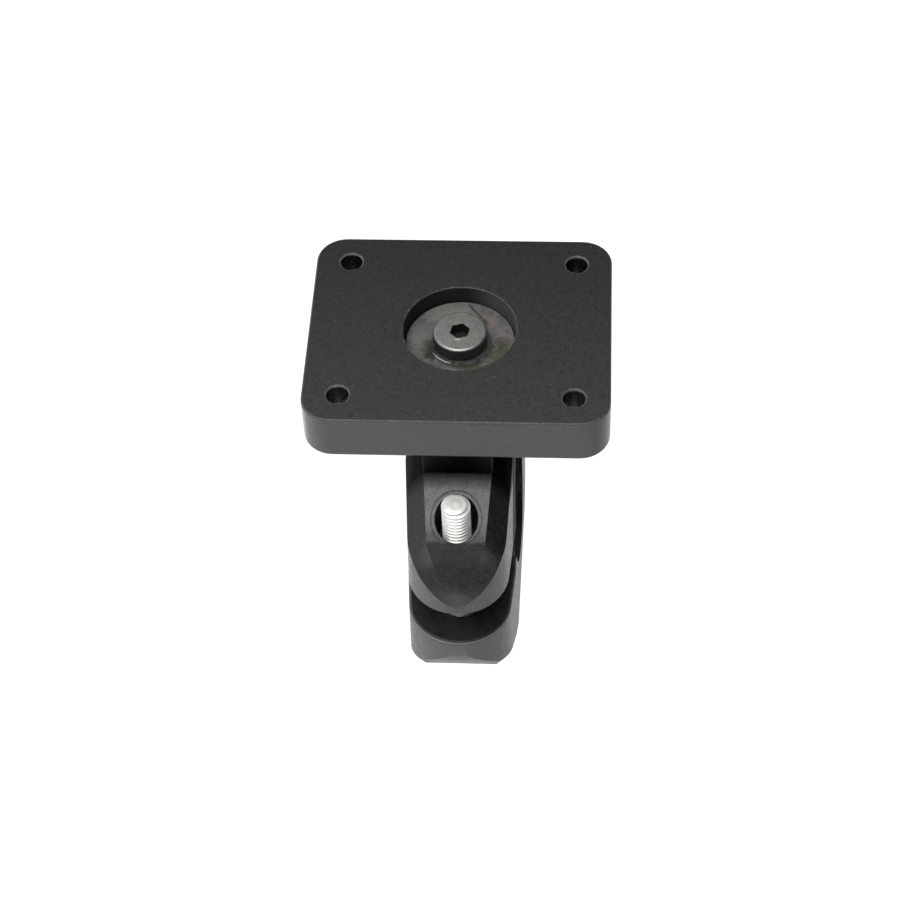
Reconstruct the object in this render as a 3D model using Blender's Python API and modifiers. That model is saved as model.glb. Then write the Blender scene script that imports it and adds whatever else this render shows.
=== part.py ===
"""Pipe clamp mount: a drilled mounting plate on a hinged two-jaw tube clamp.

The tube axis runs along X through the origin. The jaws open towards -Y, the hinge pin lies behind the
tube, and the plate sits above it with its face at +Z. Sizes are in metres.
"""
import math

import bmesh
import bpy
from mathutils import Matrix, Vector

MM = 0.001

# Angles above which an edge counts as sharp, on the faceted jaws and elsewhere, and is broken.
JAW_SHARP_ANGLE = math.radians(18.0)
SHARP_ANGLE = math.radians(30.0)
EDGE_BREAK_ANGLE = math.radians(40.0)

# Tube that the clamp grips, and the running fit between pieces that touch.
TUBE_RADIUS = 12.7 * MM
FIT_GAP = 0.3 * MM

# Mounting plate with the 38 x 30 mm instrument hole pattern.
HOLE_SPACING_LENGTH = 38.0 * MM
HOLE_SPACING_WIDTH = 30.0 * MM
HOLE_MARGIN_LENGTH = 5.9 * MM
HOLE_MARGIN_WIDTH = 5.6 * MM
HOLE_RADIUS = 1.85 * MM
HOLE_EDGE_BREAK = 0.22 * MM
PLATE_THICKNESS = 8.55 * MM
PLATE_CORNER_RADIUS = 5.0 * MM
PLATE_EDGE_BREAK = 0.35 * MM
PLATE_TOP = 39.05 * MM
RECESS_RADIUS = 9.35 * MM
RECESS_EDGE_BREAK = 0.12 * MM
RECESS_DEPTH = 3.2 * MM

# Steel disc in the plate's recess and the low-head screw that clamps it.
DISC_THICKNESS = 1.5 * MM
RING_EDGE_BREAK = 0.15 * MM
LOW_HEAD_RADIUS = 4.5 * MM
LOW_HEAD_HEIGHT = 2.2 * MM
LOW_HEAD_SOCKET_FLATS = 3.0 * MM
LOW_HEAD_SOCKET_DEPTH = 1.6 * MM
LOW_HEAD_SOCKET_TURN = math.radians(-13.0)
LOW_HEAD_ROUNDING = 0.7 * MM
PLATE_SCREW_LENGTH = 16.0 * MM
SCREW_RADIUS = 2.5 * MM

# Jaw form shared by both jaws, seen along the tube and from above.
JAW_HALF_GAP = 3.7 * MM
JAW_HALF_WIDTH = 9.35 * MM
BOLT_REACH = 24.1 * MM
FLANK_TAPER = math.radians(4.5)
SLOPE_ANGLE = math.radians(28.0)
CHAMFER = 3.4 * MM
MATING_EDGE_BREAK = 0.45 * MM
NOSE_STEPS = 20
REAR_STEPS = 12

# Pointed arches on the nose, as shares and powers of the nose radius: the chamfer's lower edge and the facet.
WALL_ARCH_RISE = 1.35
WALL_ARCH_POWER = 0.67
FACET_ARCH_POWER = 0.493
FACET_TIP_SETBACK = 0.068

# Height of the facet's point as a share of the steep front, and the rounding where front and slope meet.
FACET_TIP_RISE = 0.258
BREAK_ROUNDING = 1.2 * MM
BREAK_REACH = 0.75 * MM
BREAK_STEPS = 3

# Upper jaw: round nose, steep front facet, sloping bolt facet and level top.
UPPER_NOSE_RADIUS = 8.5 * MM
UPPER_TIP_HEIGHT = 5.7 * MM
UPPER_BREAK_HEIGHT = 16.75 * MM
UPPER_BREAK_SETBACK = 4.4 * MM
UPPER_TOP_HEIGHT = 26.4 * MM
UPPER_DRAFT = math.radians(1.4)
UPPER_DRAFT_REACH = 8.5 * MM
UPPER_FACET_ARCH_SPREAD = 0.813
PEDESTAL_HALF_WIDTH = 5.8 * MM
PEDESTAL_REACH = 17.3 * MM
PEDESTAL_CORNER = 0.35 * MM
PEDESTAL_ROOT_DEPTH = 6.0 * MM
TURRET_RADIUS = 9.1 * MM

# Lower jaw: the same form turned over, a little wider and flatter.
LOWER_NOSE_RADIUS = 8.8 * MM
LOWER_TIP_HEIGHT = 7.25 * MM
LOWER_BREAK_HEIGHT = 16.2 * MM
LOWER_BREAK_SETBACK = 4.4 * MM
LOWER_TOP_HEIGHT = 20.7 * MM
LOWER_DRAFT = math.radians(-2.6)
LOWER_DRAFT_REACH = 26.0 * MM
LOWER_FACET_ARCH_SPREAD = 1.075
LOWER_CHAMFER = 2.2 * MM

# Hinge behind the tube: one knuckle of the lower jaw between two of the upper jaw.
PIN_REACH = 20.6 * MM
PIN_RADIUS = 2.0 * MM
PIN_END_INSET = 0.6 * MM
PIN_EDGE_BREAK = 0.3 * MM
KNUCKLE_RADIUS = 5.0 * MM
KNUCKLE_SETBACK = 0.05 * MM
MIDDLE_KNUCKLE_HALF_WIDTH = 3.4 * MM

# Rubber liners in both saddles.
LINER_THICKNESS = 1.5 * MM
LINER_INSET = 0.6 * MM
LINER_END_CLEARANCE = 0.7 * MM
LINER_RIB_COUNT = 11
LINER_RIB_HEIGHT = 0.35 * MM
LINER_RIB_SIDE_SHARE = 0.08

# Clamp bolt from below, its washer and the threaded inserts.
BOLT_TIP_HEIGHT = 22.8 * MM
BOLT_LENGTH = 32.0 * MM
BOLT_TIP_FLAT_RADIUS = 1.75 * MM
CAP_HEAD_RADIUS = 4.25 * MM
CAP_HEAD_HEIGHT = 5.0 * MM
CAP_HEAD_SOCKET_FLATS = 4.0 * MM
CAP_HEAD_SOCKET_DEPTH = 2.5 * MM
HEAD_EDGE_BREAK = 0.45 * MM
HEAD_EDGE_STEPS = 4
WASHER_RADIUS = 4.5 * MM
WASHER_THICKNESS = 1.0 * MM
JAW_OPENING = math.radians(3.0)
BOLT_HOLE_RADIUS = 3.5 * MM
BOLT_HOLE_EDGE_BREAK = 0.15 * MM
INSERT_WALL = 1.5 * MM
INSERT_LENGTH = 9.0 * MM
INSERT_INSET = 0.5 * MM
CUT_MARGIN = 2.0 * MM

# Straight edges that stand in for one full circle.
LARGE_CIRCLE_STEPS = 64
MEDIUM_CIRCLE_STEPS = 40
SMALL_CIRCLE_STEPS = 28

# Sizes that follow from the ones above.
PLATE_LENGTH = HOLE_SPACING_LENGTH + 2 * HOLE_MARGIN_LENGTH
PLATE_WIDTH = HOLE_SPACING_WIDTH + 2 * HOLE_MARGIN_WIDTH
PLATE_UNDERSIDE = PLATE_TOP - PLATE_THICKNESS
SEAT_TOP = PLATE_UNDERSIDE - FIT_GAP
SADDLE_RADIUS = TUBE_RADIUS + LINER_THICKNESS + FIT_GAP
REAR_REACH = PIN_REACH + KNUCKLE_RADIUS
DISC_TOP = PLATE_TOP - RECESS_DEPTH
DISC_UNDERSIDE = DISC_TOP - DISC_THICKNESS
INSERT_BORE = SCREW_RADIUS + FIT_GAP
INSERT_RADIUS = INSERT_BORE + INSERT_WALL
HEAD_TOP = BOLT_TIP_HEIGHT - BOLT_LENGTH
WASHER_BASE = HEAD_TOP + FIT_GAP
WASHER_SEAT = WASHER_BASE + WASHER_THICKNESS + FIT_GAP

# As the lower jaw swings open, its bolt hole and its pocket move past the upright bolt.
LOWER_BOLT_HOLE_RADIUS = SCREW_RADIUS + FIT_GAP - HEAD_TOP * math.sin(JAW_OPENING)
HEAD_POCKET_RADIUS = WASHER_RADIUS + FIT_GAP - WASHER_SEAT * math.sin(JAW_OPENING)


def clear_scene():
    """Remove whatever the open file holds."""
    for item in list(bpy.data.objects):
        bpy.data.objects.remove(item, do_unlink=True)


def make_collection(name):
    collection = bpy.data.collections.new(name)
    bpy.context.scene.collection.children.link(collection)
    return collection


def make_material(name, colour, roughness, metallic):
    material = bpy.data.materials.new(name)
    material.use_nodes = True
    shader = material.node_tree.nodes["Principled BSDF"]
    shader.inputs["Base Color"].default_value = (*colour, 1.0)
    shader.inputs["Roughness"].default_value = roughness
    shader.inputs["Metallic"].default_value = metallic
    material.diffuse_color = (*colour, 1.0)
    return material


def add_object(name, mesh, collection, origin=(0.0, 0.0, 0.0), material=None):
    """Place a mesh given in world coordinates, with the object's own origin at the point named."""
    mesh.transform(Matrix.Translation(-Vector(origin)))
    item = bpy.data.objects.new(name, mesh)
    item.location = origin
    collection.objects.link(item)
    if material is not None:
        mesh.materials.append(material)
    return item


def carry(child, parent):
    """Parent a piece to the one that carries it and keep its place in the world."""
    child.parent = parent
    child.location = child.location - parent.location


def mesh_from(name, shape):
    bmesh.ops.recalc_face_normals(shape, faces=shape.faces)
    mesh = bpy.data.meshes.new(name)
    shape.to_mesh(mesh)
    shape.free()
    return mesh


def smooth(item, angle=SHARP_ANGLE):
    item.data.shade_smooth()
    item.data.set_sharp_from_angle(angle=angle)


def cylinder_mesh(name, radius, start, end, centre=(0.0, 0.0), axis="Z", steps=MEDIUM_CIRCLE_STEPS,
                  end_radius=None):
    """Cylinder or cone from start to end along Z (centre in XY) or along X (centre in YZ)."""
    shape = bmesh.new()
    last = radius if end_radius is None else end_radius
    bmesh.ops.create_cone(shape, cap_ends=True, segments=steps, radius1=radius, radius2=last,
                          depth=end - start)
    middle = (start + end) / 2
    if axis == "X":
        placing = Matrix.Translation((middle, *centre)) @ Matrix.Rotation(math.pi / 2, 4, "Y")
    else:
        placing = Matrix.Translation((*centre, middle))
    shape.transform(placing)
    return mesh_from(name, shape)


def rounded_outline(length, width, radius, steps=8):
    """Corner points of a rectangle with rounded corners, counter-clockwise from above."""
    points = []
    for quarter, (sx, sy) in enumerate(((1, 1), (-1, 1), (-1, -1), (1, -1))):
        corner = (sx * (length / 2 - radius), sy * (width / 2 - radius))
        for step in range(steps + 1):
            angle = (quarter + step / steps) * math.pi / 2
            points.append((corner[0] + radius * math.cos(angle), corner[1] + radius * math.sin(angle)))
    return points


def slab_mesh(name, outline, base, top):
    """Flat outline in XY extruded from base to top."""
    shape = bmesh.new()
    face = shape.faces.new([shape.verts.new((x, y, base)) for x, y in outline])
    raised = bmesh.ops.extrude_face_region(shape, geom=[face])
    moved = [part for part in raised["geom"] if isinstance(part, bmesh.types.BMVert)]
    bmesh.ops.translate(shape, verts=moved, vec=(0.0, 0.0, top - base))
    return mesh_from(name, shape)


def profile_mesh(name, outline, start, end):
    """Flat outline in YZ extruded along X from start to end."""
    shape = bmesh.new()
    face = shape.faces.new([shape.verts.new((start, y, z)) for y, z in outline])
    raised = bmesh.ops.extrude_face_region(shape, geom=[face])
    moved = [part for part in raised["geom"] if isinstance(part, bmesh.types.BMVert)]
    bmesh.ops.translate(shape, verts=moved, vec=(end - start, 0.0, 0.0))
    return mesh_from(name, shape)


def turned_object(name, profile, place, collection, material, steps=MEDIUM_CIRCLE_STEPS):
    """Turn a profile of (radius, height) pairs, listed top to bottom, round a vertical axis."""
    mesh = bpy.data.meshes.new(name)
    edges = [(index, index + 1) for index in range(len(profile) - 1)]
    mesh.from_pydata([(radius, 0.0, height) for radius, height in profile], edges, [])
    item = bpy.data.objects.new(name, mesh)
    item.location = place
    collection.objects.link(item)
    mesh.materials.append(material)
    screw = item.modifiers.new("turn", "SCREW")
    screw.steps = steps
    screw.render_steps = steps
    screw.use_merge_vertices = True
    screw.merge_threshold = 0.00001
    item.data = bpy.data.meshes.new_from_object(item.evaluated_get(bpy.context.evaluated_depsgraph_get()))
    item.modifiers.clear()
    smooth(item)
    return item


def hexagon_mesh(name, flats, start, end, centre=(0.0, 0.0), turn=0.0):
    """Hexagonal prism for a key socket, turned about its own axis."""
    mesh = cylinder_mesh(name, flats / math.sqrt(3.0), start, end, steps=6)
    mesh.transform(Matrix.Translation((*centre, 0.0)) @ Matrix.Rotation(turn, 4, "Z"))
    return mesh


def apply_boolean(item, tool, operation="DIFFERENCE"):
    step = item.modifiers.new(tool.name, "BOOLEAN")
    step.operation = operation
    step.solver = "EXACT"
    step.object = tool
    return step


def cutter(name, mesh, cutters):
    item = add_object(name, mesh, cutters)
    item.hide_render = True
    item.display_type = "WIRE"
    return item


def cut(item, name, mesh, cutters):
    apply_boolean(item, cutter(name, mesh, cutters), "DIFFERENCE")


def join(item, name, mesh, cutters):
    apply_boolean(item, cutter(name, mesh, cutters), "UNION")


def bevel(item, width, segments=2, angle=EDGE_BREAK_ANGLE):
    edge = item.modifiers.new("edge_break", "BEVEL")
    edge.width = width
    edge.segments = segments
    edge.limit_method = "ANGLE"
    edge.angle_limit = angle
    edge.use_clamp_overlap = True


class JawForm:
    """Heights and widths of one jaw at each distance y along it, all positive from the tube axis."""

    def __init__(self, nose_radius, tip_height, break_height, break_setback, top_height, draft,
                 draft_reach, facet_arch_spread, chamfer):
        self.nose_radius = nose_radius
        self.tip_height = tip_height
        self.break_height = break_height
        self.top_height = top_height
        self.draft = draft
        self.draft_reach = draft_reach
        self.facet_arch_spread = facet_arch_spread
        self.chamfer = chamfer
        self.front = -BOLT_REACH - nose_radius
        self.facet_tip = self.front + FACET_TIP_SETBACK * nose_radius
        self.facet_tip_height = tip_height + FACET_TIP_RISE * (break_height - tip_height)
        self.break_y = self.front + break_setback
        self.level_y = self.break_y + (top_height - break_height) / math.tan(SLOPE_ANGLE)
        self.rear_radius = top_height - JAW_HALF_GAP
        self.rear_y = REAR_REACH - self.rear_radius

    def slope_height(self, y):
        """Height of the bolt facet, the level top and the rounded back."""
        if y < self.level_y:
            return self.break_height + (y - self.break_y) * math.tan(SLOPE_ANGLE)
        if y < self.rear_y:
            return self.top_height
        run = min(y - self.rear_y, self.rear_radius)
        return JAW_HALF_GAP + math.sqrt(max(self.rear_radius ** 2 - run ** 2, 0.0))

    def top(self, y):
        """Height along the middle, steeper below the facet's point and rounded where front meets slope."""
        if y < self.facet_tip:
            share = (y - self.front) / (self.facet_tip - self.front)
            return self.tip_height + share * (self.facet_tip_height - self.tip_height)
        share = (y - self.facet_tip) / (self.break_y - self.facet_tip)
        steep = self.facet_tip_height + share * (self.break_height - self.facet_tip_height)
        sloped = self.slope_height(y)
        near = max(BREAK_ROUNDING - abs(steep - sloped), 0.0)
        return min(steep, sloped) - near ** 2 / (4 * BREAK_ROUNDING)

    def flank(self, y):
        """Half width of the tapering flank, a tangent of the round nose."""
        along = (y + BOLT_REACH) * math.sin(FLANK_TAPER)
        return min((self.nose_radius + along) / math.cos(FLANK_TAPER), JAW_HALF_WIDTH)

    def outline(self, y):
        """Half width at the mating face and the outward direction there."""
        ahead = -(y + BOLT_REACH)
        if ahead > self.nose_radius * math.sin(FLANK_TAPER):
            half = math.sqrt(max(self.nose_radius ** 2 - ahead ** 2, 0.0))
            return half, (half / self.nose_radius, -ahead / self.nose_radius)
        if self.flank(y) < JAW_HALF_WIDTH:
            return self.flank(y), (math.cos(FLANK_TAPER), -math.sin(FLANK_TAPER))
        return JAW_HALF_WIDTH, (1.0, 0.0)

    def wall(self, y):
        """Height where the side wall ends and the chamfer starts."""
        sloped = max(self.slope_height(y) - self.chamfer, (self.slope_height(y) + JAW_HALF_GAP) / 2)
        reach = (y - self.front) / self.nose_radius
        arch = self.tip_height + WALL_ARCH_RISE * self.nose_radius * reach ** WALL_ARCH_POWER
        return min(sloped, arch)

    def facet(self, y):
        """Half width of the central facet, which closes to a point above the tip."""
        straight = self.flank(y) - self.chamfer
        if y > self.rear_y:
            straight = self.flank(y) - (self.top(y) - self.wall(y))
        reach = max((y - self.facet_tip) / self.nose_radius, 0.0)
        return min(straight, self.facet_arch_spread * reach ** FACET_ARCH_POWER * self.nose_radius)

    def stations(self):
        """Distances at which the jaw's section is drawn, from the tip to the back."""
        sweep = FLANK_TAPER - math.pi / 2
        nose = [-BOLT_REACH - self.nose_radius * math.sin(math.pi / 2 + sweep * i / NOSE_STEPS)
                for i in range(NOSE_STEPS + 1)]
        widening = JAW_HALF_WIDTH * math.cos(FLANK_TAPER) - self.nose_radius
        flank_end = widening / math.sin(FLANK_TAPER) - BOLT_REACH
        breaks = [self.facet_tip, flank_end, self.level_y]
        breaks += [self.break_y + BREAK_REACH * i / BREAK_STEPS for i in range(-BREAK_STEPS, BREAK_STEPS + 1)]
        rear = [self.rear_y + self.rear_radius * math.sin(math.pi / 2 * i / REAR_STEPS)
                for i in range(REAR_STEPS + 1)]
        return sorted(set(nose + breaks + rear))

    def section(self, y, side):
        """Closed ring round the jaw at y, with its heights turned up or down by side."""
        half, (nx, ny) = self.outline(y)
        top = max(self.top(y), JAW_HALF_GAP)
        wall = min(max(self.wall(y), JAW_HALF_GAP), top)
        edge = min(MATING_EDGE_BREAK, wall - JAW_HALF_GAP)
        draft = self.draft * min((y - self.front) / self.draft_reach, 1.0)
        upper_half = half * (1.0 - math.tan(draft) * (wall - JAW_HALF_GAP) / JAW_HALF_WIDTH)
        facet = min(self.facet(y), upper_half)
        right = [(half - nx * edge, y - ny * edge, JAW_HALF_GAP), (half, y, JAW_HALF_GAP + edge),
                 (upper_half, y, wall), (facet, y, top)]
        left = [(-px, py, pz) for px, py, pz in reversed(right)]
        return [(px, py, side * pz) for px, py, pz in right + left]

    def mesh(self, name, side):
        """Loft the sections into one closed solid."""
        shape = bmesh.new()
        rings = [[shape.verts.new(point) for point in self.section(y, side)] for y in self.stations()]
        count = len(rings[0])
        for first, second in zip(rings, rings[1:]):
            for index in range(count):
                after = (index + 1) % count
                shape.faces.new((first[index], first[after], second[after], second[index]))
        bmesh.ops.remove_doubles(shape, verts=shape.verts, dist=0.000002)
        return mesh_from(name, shape)


UPPER = JawForm(UPPER_NOSE_RADIUS, UPPER_TIP_HEIGHT, UPPER_BREAK_HEIGHT, UPPER_BREAK_SETBACK,
                UPPER_TOP_HEIGHT, UPPER_DRAFT, UPPER_DRAFT_REACH, UPPER_FACET_ARCH_SPREAD, CHAMFER)
LOWER = JawForm(LOWER_NOSE_RADIUS, LOWER_TIP_HEIGHT, LOWER_BREAK_HEIGHT, LOWER_BREAK_SETBACK,
                LOWER_TOP_HEIGHT, LOWER_DRAFT, LOWER_DRAFT_REACH, LOWER_FACET_ARCH_SPREAD, LOWER_CHAMFER)


def knuckle_mesh(name, start, end, radius=KNUCKLE_RADIUS):
    return cylinder_mesh(name, radius, start, end, (PIN_REACH, 0.0), axis="X")


def cut_pin_and_saddle(jaw, prefix, cutters):
    """Tube saddle and pin hole, which both jaws share."""
    reach = JAW_HALF_WIDTH + CUT_MARGIN
    saddle = cylinder_mesh(prefix + "_saddle", SADDLE_RADIUS, -reach, reach, axis="X",
                           steps=LARGE_CIRCLE_STEPS)
    cut(jaw, prefix + "_saddle_cut", saddle, cutters)
    pin_hole = cylinder_mesh(prefix + "_pin_hole", PIN_RADIUS + FIT_GAP, -reach, reach, (PIN_REACH, 0.0),
                             axis="X", steps=SMALL_CIRCLE_STEPS)
    cut(jaw, prefix + "_pin_hole_cut", pin_hole, cutters)


def build_upper_jaw(parts, cutters, material):
    jaw = add_object("upper_jaw", UPPER.mesh("upper_jaw", 1), parts, material=material)
    root = UPPER_TOP_HEIGHT - PEDESTAL_ROOT_DEPTH
    outline = rounded_outline(2 * PEDESTAL_HALF_WIDTH, 2 * PEDESTAL_REACH, PEDESTAL_CORNER, steps=2)
    join(jaw, "pedestal_rail", slab_mesh("pedestal_rail", outline, root, SEAT_TOP), cutters)
    turret = cylinder_mesh("pedestal_turret", TURRET_RADIUS, root, SEAT_TOP, steps=LARGE_CIRCLE_STEPS)
    join(jaw, "pedestal_turret", turret, cutters)
    for side, word in ((-1, "left"), (1, "right")):
        ends = sorted((side * MIDDLE_KNUCKLE_HALF_WIDTH, side * (JAW_HALF_WIDTH - KNUCKLE_SETBACK)))
        join(jaw, "knuckle_" + word, knuckle_mesh("knuckle_" + word, *ends), cutters)
    cut_pin_and_saddle(jaw, "upper", cutters)
    room = knuckle_mesh("middle_knuckle_room", -MIDDLE_KNUCKLE_HALF_WIDTH, MIDDLE_KNUCKLE_HALF_WIDTH,
                        KNUCKLE_RADIUS + FIT_GAP)
    cut(jaw, "middle_knuckle_room", room, cutters)
    bolt = (0.0, -BOLT_REACH)
    pocket_top = JAW_HALF_GAP + INSERT_INSET + INSERT_LENGTH + FIT_GAP
    pocket = cylinder_mesh("bolt_insert_pocket", INSERT_RADIUS + FIT_GAP, 0.0, pocket_top, bolt)
    cut(jaw, "bolt_insert_pocket", pocket, cutters)
    cut(jaw, "bolt_bore", cylinder_mesh("bolt_bore", BOLT_HOLE_RADIUS, 0.0, PLATE_TOP, bolt), cutters)
    cut(jaw, "bolt_bore_edge", bore_edge_mesh(), cutters)
    base = SEAT_TOP - INSERT_INSET - INSERT_LENGTH - FIT_GAP
    seat = cylinder_mesh("plate_insert_pocket", INSERT_RADIUS + FIT_GAP, base, PLATE_TOP)
    cut(jaw, "plate_insert_pocket", seat, cutters)
    bore = cylinder_mesh("plate_screw_bore", SCREW_RADIUS + FIT_GAP, DISC_TOP - PLATE_SCREW_LENGTH, PLATE_TOP,
                         steps=SMALL_CIRCLE_STEPS)
    cut(jaw, "plate_screw_bore", bore, cutters)
    smooth(jaw, JAW_SHARP_ANGLE)
    return jaw


def bore_edge_mesh():
    """Cone that breaks the bolt bore's edge evenly on the sloping facet."""
    depth = 2 * BOLT_HOLE_EDGE_BREAK
    mesh = cylinder_mesh("bolt_bore_edge", BOLT_HOLE_RADIUS - BOLT_HOLE_EDGE_BREAK, -depth, depth,
                         end_radius=BOLT_HOLE_RADIUS + 3 * BOLT_HOLE_EDGE_BREAK)
    tilt = Matrix.Identity(4)
    tilt[2][1] = math.tan(SLOPE_ANGLE)
    mesh.transform(Matrix.Translation((0.0, -BOLT_REACH, UPPER.slope_height(-BOLT_REACH))) @ tilt)
    return mesh


def build_lower_jaw(parts, cutters, material):
    jaw = add_object("lower_jaw", LOWER.mesh("lower_jaw", -1), parts, (0.0, PIN_REACH, 0.0), material)
    half = MIDDLE_KNUCKLE_HALF_WIDTH - FIT_GAP
    join(jaw, "knuckle_middle", knuckle_mesh("knuckle_middle", -half, half), cutters)
    cut_pin_and_saddle(jaw, "lower", cutters)
    outer = JAW_HALF_WIDTH + CUT_MARGIN
    for side, word in ((-1, "left"), (1, "right")):
        ends = sorted((side * half, side * outer))
        room = knuckle_mesh("knuckle_room_" + word, *ends, KNUCKLE_RADIUS + FIT_GAP)
        cut(jaw, "knuckle_room_" + word, room, cutters)
    bolt = (0.0, -BOLT_REACH)
    hole = cylinder_mesh("lower_bolt_hole", LOWER_BOLT_HOLE_RADIUS, -LOWER_TOP_HEIGHT, 0.0, bolt)
    cut(jaw, "lower_bolt_hole", hole, cutters)
    pocket = cylinder_mesh("head_pocket", HEAD_POCKET_RADIUS, -LOWER_TOP_HEIGHT - CUT_MARGIN, WASHER_SEAT,
                           bolt)
    cut(jaw, "head_pocket", pocket, cutters)
    smooth(jaw, JAW_SHARP_ANGLE)
    return jaw


def liner_outline(side):
    """Half ring in YZ with low ribs along its inner face."""
    outer = TUBE_RADIUS + LINER_THICKNESS
    start = math.asin((JAW_HALF_GAP + LINER_END_CLEARANCE) / TUBE_RADIUS)
    sweep = math.pi - 2 * start
    steps = LARGE_CIRCLE_STEPS // 2
    polar = [(outer, start + sweep * i / steps) for i in range(steps + 1)]
    spans = 2 * LINER_RIB_COUNT - 1
    for index in reversed(range(spans)):
        radius = TUBE_RADIUS + (0.0 if index % 2 == 0 else LINER_RIB_HEIGHT)
        for share in (1.0 - LINER_RIB_SIDE_SHARE, 0.5, LINER_RIB_SIDE_SHARE):
            polar.append((radius, start + sweep * (index + share) / spans))
    return [(radius * math.cos(angle), side * radius * math.sin(angle)) for radius, angle in polar]


def build_liner(name, side, parts, material, origin=(0.0, 0.0, 0.0)):
    half = JAW_HALF_WIDTH - LINER_INSET
    return add_object(name, profile_mesh(name, liner_outline(side), -half, half), parts, origin, material)


def rim_mesh(name, radius, edge, centre, steps):
    """Cone that breaks the top edge of a round opening in the plate."""
    return cylinder_mesh(name, radius - edge, PLATE_TOP - 2 * edge, PLATE_TOP + edge, centre,
                         steps=steps, end_radius=radius + 2 * edge)


def build_plate(parts, cutters, material):
    outline = rounded_outline(PLATE_LENGTH, PLATE_WIDTH, PLATE_CORNER_RADIUS)
    slab = slab_mesh("mounting_plate", outline, PLATE_UNDERSIDE, PLATE_TOP)
    plate = add_object("mounting_plate", slab, parts, (0.0, 0.0, PLATE_UNDERSIDE), material)
    bevel(plate, PLATE_EDGE_BREAK)
    low = PLATE_UNDERSIDE - CUT_MARGIN
    high = PLATE_TOP + CUT_MARGIN
    for sx in (-1, 1):
        for sy in (-1, 1):
            centre = (sx * HOLE_SPACING_LENGTH / 2, sy * HOLE_SPACING_WIDTH / 2)
            word = ("left" if sx < 0 else "right") + ("_front" if sy < 0 else "_back")
            hole = cylinder_mesh("hole_" + word, HOLE_RADIUS, low, high, centre, steps=SMALL_CIRCLE_STEPS)
            cut(plate, "hole_" + word, hole, cutters)
            rim = rim_mesh("hole_rim_" + word, HOLE_RADIUS, HOLE_EDGE_BREAK, centre, SMALL_CIRCLE_STEPS)
            cut(plate, "hole_rim_" + word, rim, cutters)
    recess = cylinder_mesh("disc_recess", RECESS_RADIUS, DISC_UNDERSIDE - FIT_GAP, high,
                           steps=LARGE_CIRCLE_STEPS)
    cut(plate, "disc_recess", recess, cutters)
    rim = rim_mesh("recess_rim", RECESS_RADIUS, RECESS_EDGE_BREAK, (0.0, 0.0), LARGE_CIRCLE_STEPS)
    cut(plate, "recess_rim", rim, cutters)
    screw_hole = cylinder_mesh("plate_screw_hole", SCREW_RADIUS + FIT_GAP, low, high,
                               steps=SMALL_CIRCLE_STEPS)
    cut(plate, "plate_screw_hole", screw_hole, cutters)
    smooth(plate)
    return plate


def ring_profile(inner, outer, base, top, edge):
    """Closed profile of a flat ring with broken outer edges, top to bottom down its outer side."""
    return [(inner, top), (outer - edge, top), (outer, top - edge), (outer, base + edge),
            (outer - edge, base), (inner, base), (inner, top)]


def build_ring(name, inner, outer, base, top, place, parts, material, steps=MEDIUM_CIRCLE_STEPS):
    profile = ring_profile(inner, outer, 0.0, top - base, RING_EDGE_BREAK)
    return turned_object(name, profile, (*place, base), parts, material, steps)


def build_plate_screw(parts, cutters, material):
    """Low-head cap screw whose head stands on the steel disc."""
    seat = DISC_TOP + FIT_GAP
    edge = HEAD_EDGE_BREAK
    turns = [math.pi / 2 * i / HEAD_EDGE_STEPS for i in range(HEAD_EDGE_STEPS + 1)]
    rim = [(LOW_HEAD_RADIUS - LOW_HEAD_ROUNDING * (1 - math.sin(turn)),
            LOW_HEAD_HEIGHT - LOW_HEAD_ROUNDING * (1 - math.cos(turn))) for turn in turns]
    profile = [(0.0, LOW_HEAD_HEIGHT), *rim, (LOW_HEAD_RADIUS, 0.0), (SCREW_RADIUS, 0.0),
               (SCREW_RADIUS, edge - PLATE_SCREW_LENGTH), (SCREW_RADIUS - edge, -PLATE_SCREW_LENGTH),
               (0.0, -PLATE_SCREW_LENGTH)]
    screw = turned_object("plate_screw", profile, (0.0, 0.0, seat), parts, material)
    top = seat + LOW_HEAD_HEIGHT
    socket = hexagon_mesh("plate_screw_socket", LOW_HEAD_SOCKET_FLATS, top - LOW_HEAD_SOCKET_DEPTH,
                          top + CUT_MARGIN, turn=LOW_HEAD_SOCKET_TURN)
    cut(screw, "plate_screw_socket", socket, cutters)
    return screw


def build_clamp_bolt(parts, cutters, material):
    """Cap screw fitted from below, its flat tip standing above the upper jaw's bolt facet."""
    foot = HEAD_TOP - CAP_HEAD_HEIGHT
    edge = HEAD_EDGE_BREAK
    tip_edge = SCREW_RADIUS - BOLT_TIP_FLAT_RADIUS
    profile = [(0.0, BOLT_TIP_HEIGHT), (BOLT_TIP_FLAT_RADIUS, BOLT_TIP_HEIGHT),
               (SCREW_RADIUS, BOLT_TIP_HEIGHT - tip_edge), (SCREW_RADIUS, HEAD_TOP),
               (CAP_HEAD_RADIUS, HEAD_TOP), (CAP_HEAD_RADIUS, foot + edge), (CAP_HEAD_RADIUS - edge, foot),
               (0.0, foot)]
    bolt = turned_object("clamp_bolt", profile, (0.0, -BOLT_REACH, 0.0), parts, material)
    socket = hexagon_mesh("clamp_bolt_socket", CAP_HEAD_SOCKET_FLATS, foot - CUT_MARGIN,
                          foot + CAP_HEAD_SOCKET_DEPTH, (0.0, -BOLT_REACH))
    cut(bolt, "clamp_bolt_socket", socket, cutters)
    return bolt


def build_hinge_pin(parts, material):
    half = JAW_HALF_WIDTH - PIN_END_INSET
    mesh = cylinder_mesh("hinge_pin", PIN_RADIUS, -half, half, (PIN_REACH, 0.0), axis="X",
                         steps=SMALL_CIRCLE_STEPS)
    pin = add_object("hinge_pin", mesh, parts, (0.0, PIN_REACH, 0.0), material)
    bevel(pin, PIN_EDGE_BREAK, segments=1)
    smooth(pin)
    return pin


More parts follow.
